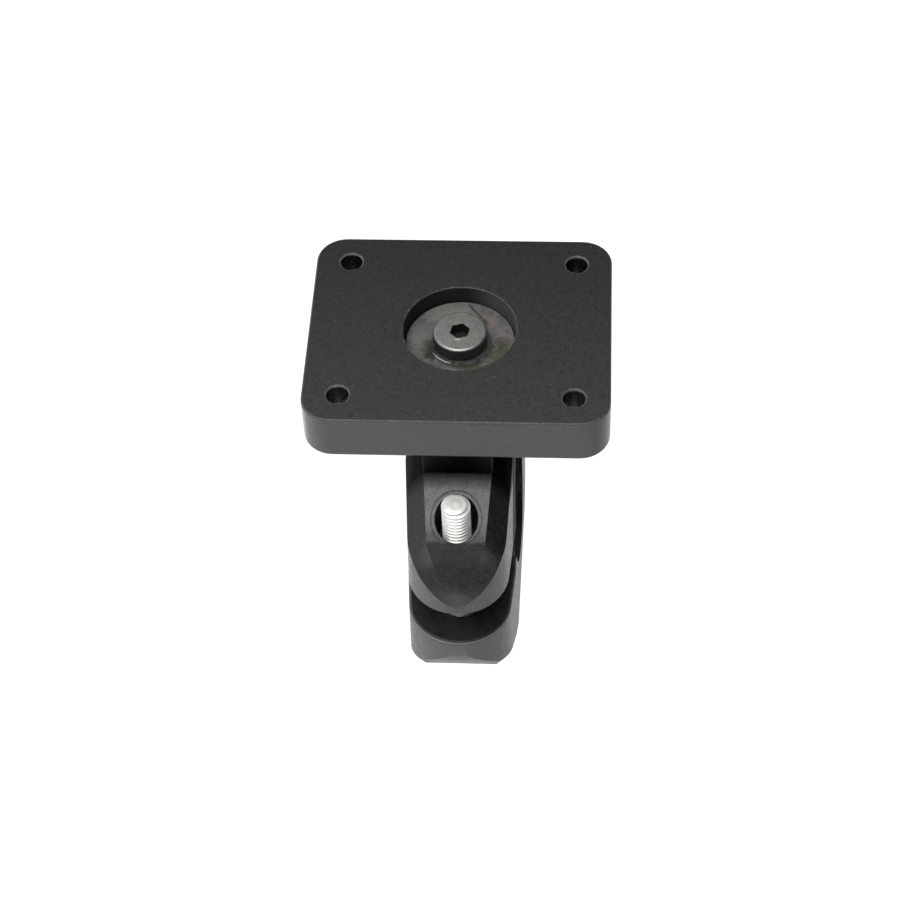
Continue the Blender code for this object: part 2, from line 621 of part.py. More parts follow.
def main():
    clear_scene()
    parts = make_collection("pipe_clamp_mount")
    cutters = make_collection("cutters")
    plate_black = make_material("plate_black", (0.026, 0.026, 0.028), 0.62, 0.0)
    jaw_black = make_material("jaw_black", (0.028, 0.028, 0.030), 0.5, 0.0)
    rubber = make_material("liner_rubber", (0.012, 0.012, 0.012), 0.85, 0.0)
    zinc = make_material("zinc_plate", (0.62, 0.61, 0.58), 0.3, 1.0)
    disc_steel = make_material("disc_steel", (0.30, 0.29, 0.26), 0.45, 1.0)
    dark_steel = make_material("dark_steel", (0.20, 0.20, 0.20), 0.4, 1.0)
    insert_steel = make_material("insert_steel", (0.10, 0.10, 0.10), 0.45, 1.0)

    upper = build_upper_jaw(parts, cutters, jaw_black)
    lower = build_lower_jaw(parts, cutters, jaw_black)
    build_plate(parts, cutters, plate_black)
    upper_liner = build_liner("upper_liner", 1, parts, rubber)
    lower_liner = build_liner("lower_liner", -1, parts, rubber, (0.0, PIN_REACH, 0.0))
    pin = build_hinge_pin(parts, dark_steel)
    disc = build_ring("plate_disc", SCREW_RADIUS + FIT_GAP, RECESS_RADIUS - FIT_GAP, DISC_UNDERSIDE, DISC_TOP,
                      (0.0, 0.0), parts, disc_steel, steps=LARGE_CIRCLE_STEPS)
    screw = build_plate_screw(parts, cutters, dark_steel)
    bolt = build_clamp_bolt(parts, cutters, zinc)
    washer = build_ring("bolt_washer", SCREW_RADIUS + FIT_GAP, WASHER_RADIUS, WASHER_BASE,
                        WASHER_BASE + WASHER_THICKNESS, (0.0, -BOLT_REACH), parts, zinc)
    insert_base = JAW_HALF_GAP + INSERT_INSET
    bolt_insert = build_ring("bolt_insert", INSERT_BORE, INSERT_RADIUS, insert_base,
                             insert_base + INSERT_LENGTH, (0.0, -BOLT_REACH), parts, insert_steel)
    insert_top = SEAT_TOP - INSERT_INSET
    plate_insert = build_ring("plate_insert", INSERT_BORE, INSERT_RADIUS, insert_top - INSERT_LENGTH,
                              insert_top, (0.0, 0.0), parts, insert_steel)
    for piece in (upper_liner, pin, disc, screw, bolt_insert, plate_insert):
        carry(piece, upper)
    carry(lower_liner, lower)
    carry(washer, bolt)


main()
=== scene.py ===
"""Finishes, threads and small edges of a pipe clamp mount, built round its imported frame."""
import math

import bmesh
import bpy
from bpy.props import FloatProperty, FloatVectorProperty, IntProperty, PointerProperty
from mathutils import Matrix, Vector


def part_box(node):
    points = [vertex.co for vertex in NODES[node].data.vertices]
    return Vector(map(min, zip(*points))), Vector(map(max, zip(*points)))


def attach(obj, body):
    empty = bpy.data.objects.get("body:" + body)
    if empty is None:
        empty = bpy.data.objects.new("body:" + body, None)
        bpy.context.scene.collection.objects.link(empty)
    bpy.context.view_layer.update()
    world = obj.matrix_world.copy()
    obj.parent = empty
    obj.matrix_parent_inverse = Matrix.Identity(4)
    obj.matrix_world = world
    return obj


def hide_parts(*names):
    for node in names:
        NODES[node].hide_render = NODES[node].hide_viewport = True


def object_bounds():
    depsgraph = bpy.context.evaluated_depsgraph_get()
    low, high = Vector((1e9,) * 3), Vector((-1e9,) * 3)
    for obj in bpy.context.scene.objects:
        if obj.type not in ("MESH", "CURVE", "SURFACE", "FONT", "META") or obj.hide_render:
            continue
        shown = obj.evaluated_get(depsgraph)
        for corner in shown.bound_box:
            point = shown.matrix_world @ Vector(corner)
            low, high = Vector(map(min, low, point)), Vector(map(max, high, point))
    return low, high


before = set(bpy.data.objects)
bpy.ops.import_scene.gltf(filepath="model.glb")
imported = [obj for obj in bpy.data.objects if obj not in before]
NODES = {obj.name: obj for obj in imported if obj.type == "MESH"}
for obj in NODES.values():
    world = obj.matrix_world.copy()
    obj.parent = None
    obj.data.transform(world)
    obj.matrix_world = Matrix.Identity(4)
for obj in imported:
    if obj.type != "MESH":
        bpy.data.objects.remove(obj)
CAD_LOW, CAD_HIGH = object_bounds()

bl_info = {
    "name": "Pipe Clamp Mount",
    "version": (1, 0, 0),
    "blender": (4, 5, 0),
    "location": "View3D > Sidebar > Clamp Mount",
    "description": "Builds the finished pieces of a pipe clamp mount on its frame",
    "category": "Object",
}

MM = 0.001
FAR = 1.0  # Beyond every side of the mount.

# Places read from the frame.
BOLT_LOW, BOLT_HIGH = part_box("clamp_bolt")
SCREW_LOW, SCREW_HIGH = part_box("plate_screw")
PLATE_LOW, PLATE_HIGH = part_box("mounting_plate")
DISC_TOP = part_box("plate_disc")[1].z
BOLT_AXIS = ((BOLT_LOW.x + BOLT_HIGH.x) / 2, (BOLT_LOW.y + BOLT_HIGH.y) / 2)
SCREW_AXIS = ((SCREW_LOW.x + SCREW_HIGH.x) / 2, (SCREW_LOW.y + SCREW_HIGH.y) / 2)

# Middle of one corner hole, and the radii of the holes and of the recess.
HOLE_PLACE = (19.0 * MM, 15.0 * MM)
HOLE_RADIUS = 1.85 * MM
RECESS_RADIUS = 9.35 * MM

# Top, foot and back of the lower jaw's front lip, which carries painted light and a painted highlight line.
LIP_HIGH = -3.72 * MM
LIP_LOW = -4.15 * MM
LIP_BACK = -8.0 * MM

# Where the bolt's facet starts and ends its bend, and the pointed field of painted shade on the steep front
# below:
# its half width, the share of height that is added to depth, and that sum at its top and its tip.
CROWN_START = -23.6 * MM
CROWN_END = -27.6 * MM
FIELD_HALF_WIDTH = 5.15 * MM
FIELD_SLOPE = 0.847
FIELD_TOP = -12.5 * MM
FIELD_TIP = -24.8 * MM

# Corners of the box of painted shade on the pedestal under the plate and of the box of painted light under
# the bore, the lean of the pedestal's own corners, and the side and top of the dull right flank.
PLATE_SHADE_LOW = (-8.8 * MM, -18.5 * MM, 18.0 * MM)
PLATE_SHADE_HIGH = (8.8 * MM, -6.0 * MM, 40.0 * MM)
CREASE_LIGHT_LOW = (-5.0 * MM, -40.0 * MM, 13.6 * MM)
CREASE_LIGHT_HIGH = (5.0 * MM, CROWN_END, 17.0 * MM)
CORNER_LEAN = 1.5
FLANK_SIDE = 8.95 * MM
FLANK_TOP = 30.0 * MM

# Middle of the long scratch on the disc, and its turn in degrees.
SCRATCH_PLACE = (2.7 * MM, 6.2 * MM)
SCRATCH_TURN = -53.0

# Patches on the disc: colour, middle and half size in millimetres, wander of the outline, and strength.
# The pale patches are painted light; the rose, olive and dark ones are stains.
DISC_PATCHES = (
    ("pale", (-2.0, 6.6), (5.5, 3.0), 0.5, 0.8),
    ("pale", (-7.2, 0.6), (1.6, 3.0), 0.5, 0.35),
    ("rose", (5.2, 4.6), (1.3, 1.6), 0.5, 0.6),
    ("olive", (7.2, -1.0), (1.7, 2.6), 0.4, 0.8),
    ("rose", (7.0, 1.4), (0.7, 1.4), 0.4, 0.5),
    ("olive", (7.0, -3.2), (2.6, 3.6), 0.5, 0.9),
    ("olive", (-5.3, -2.2), (1.8, 3.0), 0.5, 0.9),
    ("olive", (3.4, -6.6), (4.0, 2.2), 0.5, 0.9),
    ("dark", (-4.6, -2.6), (1.2, 2.6), 0.4, 0.9),
    ("dark", (6.6, -0.8), (1.2, 2.0), 0.5, 0.4),
    ("dark", (-4.4, -6.2), (2.2, 1.6), 0.5, 0.6),
)

# Copies of frame pieces: the distance that joins two points, the turn under which two faces are one, and the
# turn that makes an edge sharp.
WELD = 0.002 * MM
FLAT_TURN = math.radians(0.6)
SHARP_TURN = math.radians(16.0)

# Colours of the inserts and the pin.
INSERT_STEEL = (0.10, 0.10, 0.10)
PIN_STEEL = (0.22, 0.22, 0.22)

# One turn of a thread's outline as shares of the pitch and of the depth: crest, flank, root, flank.
THREAD_OUTLINE = ((0.0, 0.0), (0.14, 0.0), (0.50, 1.0), (0.64, 1.0))

# Depth of a thread as a share of its pitch.
THREAD_DEPTH = 0.6134

# Camera, as its place, the directions of its right, down and ahead, and its lens and sensor in millimetres.
CAMERA_PLACE = Vector((19.926, -259.076, 314.373)) * MM
CAMERA_RIGHT = Vector((0.9982766, 0.0495589, -0.0314285))
CAMERA_DOWN = Vector((0.0175263, -0.7628895, -0.6462913))
CAMERA_AHEAD = Vector((-0.0560059, 0.6446267, -0.7624433))
CAMERA_LENS = 92.04
SENSOR_WIDTH = 36.0

# Lamp overhead: its place, the place that it faces, and its width.
LAMP_PLACE = Vector((-0.085, -0.19, 0.60))
LAMP_TARGET = Vector((0.0, -0.02, 0.02))
LAMP_WIDTH = 0.50

# Direction in which the studio is brightest, and how far along it the world is dim and bright.
STUDIO_BRIGHT_WAY = (-0.80, 0.22, 0.06)
STUDIO_FADE = (-0.6, 0.9)

# Where the floor's glow fades from front to back right, and where it starts and is full at the back left.
GLOW_FADE = (-0.15, 0.0)
BACK_LEFT_Y = (0.03, 0.08)
BACK_LEFT_X = (-0.02, -0.04)


# Properties


def length(name, default, description, low=0.0, high=0.2):
    return FloatProperty(name=name, description=description, default=default, min=low, max=high,
                         subtype="DISTANCE", unit="LENGTH", precision=5)


def share(name, default, description, high=1.0):
    return FloatProperty(name=name, description=description, default=default, min=0.0, max=high,
                         subtype="FACTOR")


def colour(name, default, description):
    return FloatVectorProperty(name=name, description=description, default=default, min=0.0, max=1.0,
                               size=3, subtype="COLOR")


class PlateLook(bpy.types.PropertyGroup):
    """Finish of the mounting plate."""

    body: colour("Body", (0.0127, 0.0127, 0.0121), "Colour of the moulded plate")
    dust: colour("Dust", (0.26, 0.26, 0.25), "Colour of the dust on the plate")
    # Cut rims: colour of the painted edge highlights round the holes, the recess and along the top edge.
    rim: colour("Cut rims", (0.115, 0.115, 0.11), "Colour of the paler plastic round holes and recess")
    roughness: share("Roughness", 0.52, "Roughness of the plate's face")
    sides: share("Side roughness", 0.25, "Roughness of the plate's sides")
    grain: length("Grain", 0.32 * MM, "Width of one grain of the moulded face")


class JawLook(bpy.types.PropertyGroup):
    """Finish of the two jaws."""

    body: colour("Body", (0.0105, 0.0105, 0.0108), "Colour of the moulded jaws")
    dust: colour("Dust", (0.25, 0.25, 0.24), "Colour of the dust on the jaws")
    # Worn lip: colour of the painted light on the lower jaw's front chamfer and of its painted highlight line.
    lip: colour("Worn lip", (0.05, 0.05, 0.049), "Colour of the lower jaw's worn front lip")
    roughness: share("Roughness", 0.35, "Roughness of the jaws' faces")
    gloss: share("Gloss", 0.6, "Specular level of the jaws' plastic")
    grain: length("Grain", 0.26 * MM, "Width of one grain of the moulded faces")
    ring: length("Bore ring", 4.15 * MM, "Radius of the fine groove round the bolt's bore")
    crown: share("Crown", 0.26, "Lean of the bolt's facet where it meets the steep front")


class LinerLook(bpy.types.PropertyGroup):
    """Finish of the rubber liners."""

    body: colour("Body", (0.014, 0.014, 0.014), "Colour of the rubber")
    roughness: share("Roughness", 0.80, "Roughness of the rubber")


class DiscLook(bpy.types.PropertyGroup):
    """Finish of the steel disc and its stains."""

    steel: colour("Steel", (0.128, 0.127, 0.121), "Colour of the bare steel")
    olive: colour("Olive stain", (0.060, 0.058, 0.034), "Colour of the stains at the right and lower left")
    rose: colour("Rose stain", (0.20, 0.145, 0.135), "Colour of the stain at the back")
    dark: colour("Dark stain", (0.018, 0.017, 0.014), "Colour of the dirt round the head")
    # Pale steel: colour of the painted light on the disc at the back and left.
    pale: colour("Pale steel", (0.185, 0.185, 0.170), "Colour of the cleaner steel at the back and left")
    # Bright mark: colour of a painted highlight, an arc on the disc beside the head.
    bright: colour("Bright mark", (0.55, 0.55, 0.52), "Colour of the bright arc that the head has worn")
    roughness: share("Roughness", 0.40, "Roughness of the steel")
    metal: share("Metallic", 0.25, "Share of bare metal in the stained face")


class ScrewSizes(bpy.types.PropertyGroup):
    """Low-head screw in the middle of the plate."""

    rounding: length("Rounding", 0.5 * MM, "Radius of the head's rounded rim")
    flats: length("Socket flats", 3.0 * MM, "Size across the flats of the key socket")
    depth: length("Socket depth", 1.95 * MM, "Depth of the key socket")
    turn: FloatProperty(name="Socket turn", description="Turn of the key socket about the head's axis",
                        default=math.radians(-13.0), subtype="ANGLE", unit="ROTATION")
    shank: length("Shank radius", 2.5 * MM, "Outer radius of the thread")
    pitch: length("Pitch", 0.8 * MM, "Rise of the thread in one turn")
    steel: colour("Steel", (0.31, 0.303, 0.288), "Colour of the screw's steel")
    roughness: share("Roughness", 0.46, "Roughness of the steel")


class BoltSizes(bpy.types.PropertyGroup):
    """Clamp bolt with its thread and knurled head."""

    shank: length("Shank radius", 2.4 * MM, "Outer radius of the thread")
    pitch: length("Pitch", 0.8 * MM, "Rise of the thread in one turn")
    tip: length("Tip radius", 1.62 * MM, "Radius of the flat on the bolt's tip")
    lead: length("Tip cone", 0.36 * MM, "Height of the cone between the tip and the full thread")
    head: length("Head height", 5.0 * MM, "Height of the knurled head")
    flats: length("Socket flats", 4.0 * MM, "Size across the flats of the key socket")
    depth: length("Socket depth", 2.5 * MM, "Depth of the key socket")
    knurls: IntProperty(name="Knurls", description="Number of ridges round the head", default=44, min=8,
                        max=90)
    knurl: length("Knurl depth", 0.16 * MM, "Depth of the grooves between the ridges")
    zinc: colour("Zinc", (0.93, 0.92, 0.88), "Colour of the zinc plating")
    grime: colour("Grime", (0.16, 0.145, 0.11), "Colour of the dirt in the thread")
    roughness: share("Roughness", 0.38, "Roughness of the zinc")
    metal: share("Metallic", 0.28, "Share of bare metal in the dulled zinc")


class StageLook(bpy.types.PropertyGroup):
    """Floor, lamp and world."""

    floor: colour("Floor", (0.86, 0.86, 0.86), "Colour of the floor")
    drop: length("Floor drop", 0.11, "Distance of the floor below the mount", high=1.0)
    reach: length("Floor reach", 0.45, "Distance from the middle of the floor to each side", high=6.0)
    overhead: FloatProperty(name="Overhead", description="Power of the lamp overhead", default=3.9, min=0.0,
                            unit="POWER")
    white: share("Floor white", 0.46, "Light that the floor adds for the camera")
    glow: share("Floor glow", 0.85, "Light that the floor adds for reflections at the front")
    far_glow: share("Floor glow behind", 0.28, "Light that it adds for them at the back and right")
    dim_side: share("Dim side", 0.04, "Strength of the world at the front right", high=2.0)
    bright_side: share("Bright side", 0.72, "Strength of the world at the back left", high=2.0)


class MountSettings(bpy.types.PropertyGroup):
    """All settings of the pipe clamp mount."""

    plate: PointerProperty(type=PlateLook, name="Plate", description="Mounting plate")
    jaws: PointerProperty(type=JawLook, name="Jaws", description="Upper and lower jaw")
    liners: PointerProperty(type=LinerLook, name="Liners", description="Rubber liners")
    disc: PointerProperty(type=DiscLook, name="Disc", description="Steel disc")
    screw: PointerProperty(type=ScrewSizes, name="Plate screw", description="Screw through the disc")
    bolt: PointerProperty(type=BoltSizes, name="Clamp bolt", description="Bolt that closes the jaws")
    stage: PointerProperty(type=StageLook, name="Stage", description="Floor, lamp and world")


def settings():
    return bpy.context.scene.clamp_mount


# Node helpers


class Tree:
    """Short ways to add and link the nodes of one material or node group."""

    def __init__(self, owner):
        self.nodes = owner.nodes
        self.links = owner.links
        self.place = None

    def add(self, kind, **values):
        """Add a node; a value is a node setting, or an input's value or link where its name has a socket."""
        node = self.nodes.new(kind)
        for name, value in values.items():
            if hasattr(node, name):
                setattr(node, name, value)
            else:
                self.feed(node, name.replace("_", " "), value)
        return node

    def feed(self, node, name, value):
        """Link or set one input of a node."""
        socket = node.inputs[name]
        if isinstance(value, bpy.types.NodeSocket):
            self.links.new(value, socket)
        else:
            socket.default_value = value

    def work(self, kind, operation, values):
        node = self.add(kind, operation=operation)
        for index, value in enumerate(values):
            self.feed(node, index, value)
        return node.outputs

    def math(self, operation, *values):
        return self.work("ShaderNodeMath", operation, values)[0]

    def times(self, first, *others):
        """Product of some values."""
        for value in others:
            first = self.math("MULTIPLY", first, value)
        return first

    def most(self, first, *others):
        """Greatest of some values."""
        for value in others:
            first = self.math("MAXIMUM", first, value)
        return first

    def range(self, value, low, high, to_low=0.0, to_high=1.0, smooth=False):
        """Map a value from one range to another and clamp it."""
        node = self.add("ShaderNodeMapRange", interpolation_type="SMOOTHSTEP" if smooth else "LINEAR")
        for index, part in enumerate((value, low, high, to_low, to_high)):
            self.feed(node, index, part)
        return node.outputs[0]

    def spread(self, grain, middle, below, above):
        """Roughness that wanders round its middle with the mottle of a grain."""
        return self.range(grain["Mottle"], 0.0, 1.0, middle - below, middle + above)

    def vector(self, operation, *values):
        return self.work("ShaderNodeVectorMath", operation, values)[0]

    def measure(self, operation, *values):
        """Number that a vector operation gives, such as a length."""
        return self.work("ShaderNodeVectorMath", operation, values)["Value"]

    def split(self, place):
        """Outputs X, Y and Z of a vector."""
        return self.add("ShaderNodeSeparateXYZ", Vector=place).outputs

    def reach(self, place, axis):
        """Distance of a place from an upright axis."""
        parts = self.split(self.vector("SUBTRACT", place, axis))
        square = self.math("ADD", self.times(parts["X"], parts["X"]), self.times(parts["Y"], parts["Y"]))
        return self.math("SQRT", square)

    def noise(self, place, scale, detail, roughness):
        return self.add("ShaderNodeTexNoise", Vector=place, Scale=scale, Detail=detail,
                        Roughness=roughness).outputs["Fac"]

    def mix(self, factor, first, second):
        """Blend two colours, each a link or three values."""
        node = self.add("ShaderNodeMix", data_type="RGBA")
        self.feed(node, 0, factor)
        for index, tone in ((6, first), (7, second)):
            self.feed(node, index, tone if isinstance(tone, bpy.types.NodeSocket) else (*tone, 1.0))
        return node.outputs[2]

    def laid_over(self, base, *layers):
        """Base colour under some layers, each of them a mask, a strength and a colour."""
        for cover, strength, tone in layers:
            base = self.mix(cover if strength == 1.0 else self.times(cover, strength), base, tone)
        return base

    def bump(self, height, distance, strength=1.0, normal=None):
        node = self.add("ShaderNodeBump", Height=height, Distance=distance, Strength=strength)
        if normal is not None:
            self.feed(node, "Normal", normal)
        return node.outputs["Normal"]

    def group(self, name, **values):
        """Outputs of a shared group, placed with its own values."""
        node = self.add("ShaderNodeGroup", node_tree=bpy.data.node_groups.get(name) or GROUP_MAKERS[name]())
        for label, value in {"Place": self.place, **values}.items():
            self.feed(node, label.replace("_", " "), value)
        return node.outputs

    def mask(self, name, **values):
        return self.group(name, **values)["Mask"]


def new_group(name, inputs, outputs):
    """Start a node group with a place, other inputs by name and default, and outputs by name.

    Return it with its tree, the sockets of its inputs and the node of its outputs.
    """
    group = bpy.data.node_groups.new(name, "ShaderNodeTree")
    group.interface.new_socket(name="Place", in_out="INPUT", socket_type="NodeSocketVector")
    for label, default in inputs.items():
        kind = "NodeSocketVector" if isinstance(default, tuple) else "NodeSocketFloat"
        group.interface.new_socket(name=label, in_out="INPUT", socket_type=kind).default_value = default
    for label in outputs:
        group.interface.new_socket(name=label, in_out="OUTPUT", socket_type="NodeSocketFloat")
    tree = Tree(group)
    given = tree.add("NodeGroupInput").outputs
    tree.place = given["Place"]
    return group, tree, given, tree.add("NodeGroupOutput")


def moulded_grain_group():
    """Fine grain of a moulded face: a height for bump and a slow mottle."""
    group, tree, given, leave = new_group("moulded_grain", {"Grain": 0.0003, "Mottle Size": 0.004},
                                          ("Height", "Mottle"))
    fine = tree.noise(tree.place, tree.math("DIVIDE", 1.0, given["Grain"]), 2.0, 0.6)
    slow = tree.noise(tree.place, tree.math("DIVIDE", 1.0, given["Mottle Size"]), 4.0, 0.62)
    tree.feed(leave, "Height", fine)
    tree.feed(leave, "Mottle", tree.range(slow, 0.36, 0.64))
    return group


def dust_group():
    """Scattered specks of dust, as a mask."""
    group, tree, given, leave = new_group("dust", {"Spacing": 0.001, "Speck": 0.1, "Share": 0.2}, ("Mask",))
    cells = tree.add("ShaderNodeTexVoronoi", feature="F1", Vector=tree.place,
                     Scale=tree.math("DIVIDE", 1.0, given["Spacing"])).outputs
    tone = tree.add("ShaderNodeSeparateColor", Color=cells["Color"]).outputs
    chosen = tree.math("LESS_THAN", tone["Red"], given["Share"])
    size = tree.times(given["Speck"], tree.range(tone["Green"], 0.0, 1.0, 0.4, 1.2))
    near = tree.range(cells["Distance"], 0.0, size, 1.0, 0.0, smooth=True)
    tree.feed(leave, "Mask", tree.times(near, chosen))
    return group


def zone_group():
    """Upright box with soft sides, as a mask."""
    group, tree, given, leave = new_group("zone", {"Low": (-FAR, -FAR, -FAR), "High": (FAR, FAR, FAR),
                                                   "Soft": 0.0001}, ("Mask",))
    parts = tree.split(tree.vector("MINIMUM", tree.vector("SUBTRACT", tree.place, given["Low"]),
                                   tree.vector("SUBTRACT", given["High"], tree.place)))
    least = tree.math("MINIMUM", tree.math("MINIMUM", parts["X"], parts["Y"]), parts["Z"])
    inside = tree.math("ADD", tree.math("DIVIDE", least, given["Soft"]), 0.5)
    tree.feed(leave, "Mask", tree.range(inside, 0.0, 1.0))
    return group


def ring_group():
    """Uneven ring between two radii round an upright axis, kept to the faces above a height, as a mask."""
    group, tree, given, leave = new_group("ring", {"Axis": (0.0, 0.0, 0.0), "Inner": 0.001, "Outer": 0.0012,
                                                   "Floor": 0.0, "Soft": 0.00005}, ("Mask",))
    reach = tree.reach(tree.place, given["Axis"])
    inside = tree.range(reach, tree.math("SUBTRACT", given["Inner"], given["Soft"]), given["Inner"])
    outside = tree.range(reach, given["Outer"], tree.math("ADD", given["Outer"], given["Soft"]), 1.0, 0.0)
    above = tree.math("GREATER_THAN", tree.split(tree.place)["Z"], given["Floor"])
    uneven = tree.range(tree.noise(tree.place, 1400.0, 3.0, 0.6), 0.3, 0.6, 0.45, 1.0)
    tree.feed(leave, "Mask", tree.times(inside, outside, above, uneven))
    return group


def stain_group():
    """Soft-edged patch round a centre, with a wandering outline, as a mask."""
    group, tree, given, leave = new_group("stain", {"Centre": (0.0, 0.0, 0.0), "Size": (0.003, 0.003, 0.003),
                                                    "Wander": 0.5}, ("Mask",))
    away = tree.vector("SUBTRACT", tree.place, given["Centre"])
    span = tree.measure("LENGTH", tree.vector("DIVIDE", away, given["Size"]))
    ripple = tree.math("SUBTRACT", tree.noise(tree.place, 900.0, 5.0, 0.65), 0.5)
    reach = tree.math("ADD", span, tree.times(ripple, given["Wander"], 4.0))
    tree.feed(leave, "Mask", tree.range(reach, 1.15, 0.35, smooth=True))
    return group


def turning_marks_group():
    """Fine rings left by turning, round an upright axis, as a height."""
    group, tree, given, leave = new_group("turning_marks", {"Axis": (0.0, 0.0, 0.0), "Spacing": 0.0001},
                                          ("Height",))
    turns = tree.math("DIVIDE", tree.reach(tree.place, given["Axis"]), given["Spacing"])
    rings = tree.noise(tree.add("ShaderNodeCombineXYZ", X=turns).outputs[0], 1.0, 1.0, 0.5)
    tree.feed(leave, "Height", rings)
    return group


GROUP_MAKERS = {
    "moulded_grain": moulded_grain_group,
    "dust": dust_group,
    "zone": zone_group,
    "ring": ring_group,
    "stain": stain_group,
    "turning_marks": turning_marks_group,
}


def start_material(name, roughness, metallic=0.0):
    """Material with its tree, which knows the place on the piece in metres, and its Principled BSDF."""
    material = bpy.data.materials.new(name)
    material.use_nodes = True
    tree = Tree(material.node_tree)
    tree.place = tree.add("ShaderNodeTexCoord").outputs["Object"]
    shader = tree.nodes["Principled BSDF"]
    shader.inputs["Roughness"].default_value = roughness
    shader.inputs["Metallic"].default_value = metallic
    return material, tree, shader


def lighter(value, gain):
    return tuple(min(part * gain, 1.0) for part in value)


# Materials


def plate_material():
    look = settings().plate
    material, tree, shader = start_material("plate_moulding", look.roughness)
    parts = tree.split(tree.place)
    top = PLATE_HIGH.z
    grain = tree.group("moulded_grain", Grain=look.grain, Mottle_Size=1.0 * MM)
    specks = tree.mask("dust", Spacing=1.5 * MM, Speck=0.13, Share=0.3)
    flecks = tree.mask("dust", Spacing=0.6 * MM, Speck=0.4, Share=0.3)
    quarter = tree.vector("ABSOLUTE", tree.place)
    # Painted highlights: lighter rings round the holes and the recess, broken up by noise, and a lighter band
    # along the top edge.
    hole = tree.mask("ring", Place=quarter, Axis=(*HOLE_PLACE, 0.0), Inner=HOLE_RADIUS,
                     Outer=HOLE_RADIUS + 0.22 * MM, Floor=top - 0.3 * MM)
    recess = tree.mask("ring", Inner=RECESS_RADIUS, Outer=RECESS_RADIUS + 0.14 * MM, Floor=top - 0.2 * MM)
    span = RECESS_RADIUS + 0.3 * MM
    wall = tree.mask("zone", Low=(-span, -span, 0.0), High=(span, span, top - 0.35 * MM), Soft=0.4 * MM)
    sides = tree.mask("zone", Low=(-FAR, -FAR, 0.0), High=(FAR, FAR, top - 0.35 * MM), Soft=0.2 * MM)
    edge = tree.mask("zone", Low=(-FAR, -FAR, top - 0.36 * MM), High=(FAR, FAR, top - 0.04 * MM),
                     Soft=0.04 * MM)
    # Painted light: the plate's top is painted darker at the back and lighter towards the front.
    front_light = tree.range(parts["Y"], PLATE_HIGH.y, PLATE_LOW.y)
    dull = tree.mix(front_light, lighter(look.body, 0.15), lighter(look.body, 1.15))
    pale = tree.mix(front_light, lighter(look.body, 0.45), lighter(look.body, 1.9))
    base = tree.mix(grain["Mottle"], dull, pale)
    rim_highlight_breaks = tree.range(tree.noise(tree.place, 700.0, 3.0, 0.7), 0.42, 0.62, 0.12, 0.8)
    rims = tree.most(hole, tree.times(recess, rim_highlight_breaks), tree.times(edge, 0.5))
    base = tree.laid_over(base, (flecks, 0.06, look.dust), (specks, 0.32, look.dust), (rims, 1.0, look.rim))
    # Painted light: the recess wall is painted dark on the left and lighter towards the right.
    lit = tree.range(parts["X"], 1.0 * MM, 5.5 * MM)
    walling = tree.mix(lit, lighter(look.body, 0.2), lighter(look.body, 4.4))
    tree.feed(shader, "Base Color", tree.mix(wall, base, walling))
    rough = tree.spread(grain, look.roughness, 0.13, 0.14)
    rough = tree.range(sides, 0.0, 1.0, rough, look.sides)
    tree.feed(shader, "Roughness", tree.most(rough, tree.times(wall, 0.8)))
    depth = tree.range(sides, 0.0, 1.0, 1.0, 0.3)
    tree.feed(shader, "Normal", tree.bump(tree.times(grain["Height"], depth), 0.13 * MM))
    return material


def shaded_field(tree, parts):
    """Blotted, pointed field of painted shade on the steep front of the upper jaw, as a mask."""
    aside = tree.math("DIVIDE", parts["X"], FIELD_HALF_WIDTH)
    rise = tree.math("ADD", tree.times(parts["Z"], FIELD_SLOPE), parts["Y"])
    down = tree.range(rise, FIELD_TOP, FIELD_TIP)
    bowed = tree.math("ADD", tree.times(aside, aside), down)
    field = tree.times(tree.range(bowed, 0.94, 1.04, 1.0, 0.0), tree.range(down, 0.05, 0.6))
    blots = tree.range(tree.noise(tree.place, 1300.0, 3.0, 0.6), 0.36, 0.62, 1.0, 0.35)
    return tree.times(field, blots, 0.65)


def leaned_normal(tree, parts, plate_shade, crown):
    """Normal that leans forward where the bolt's facet nears the steep front, and at the pedestal's corners."""
    flat = tree.add("ShaderNodeNewGeometry").outputs["Normal"]
    upward = tree.split(flat)["Z"]
    facing_up = tree.times(tree.range(upward, 0.64, 0.70), tree.range(parts["Z"], 8.0 * MM, 12.0 * MM))
    fall = tree.times(tree.range(parts["Y"], CROWN_START, CROWN_END, smooth=True), facing_up)
    corners = tree.times(tree.range(upward, 0.2, 0.1), plate_shade, CORNER_LEAN)
    lean = tree.add("ShaderNodeCombineXYZ", Y=tree.math("SUBTRACT", tree.times(fall, -crown), corners))
    return tree.vector("NORMALIZE", tree.vector("ADD", flat, lean.outputs[0]))


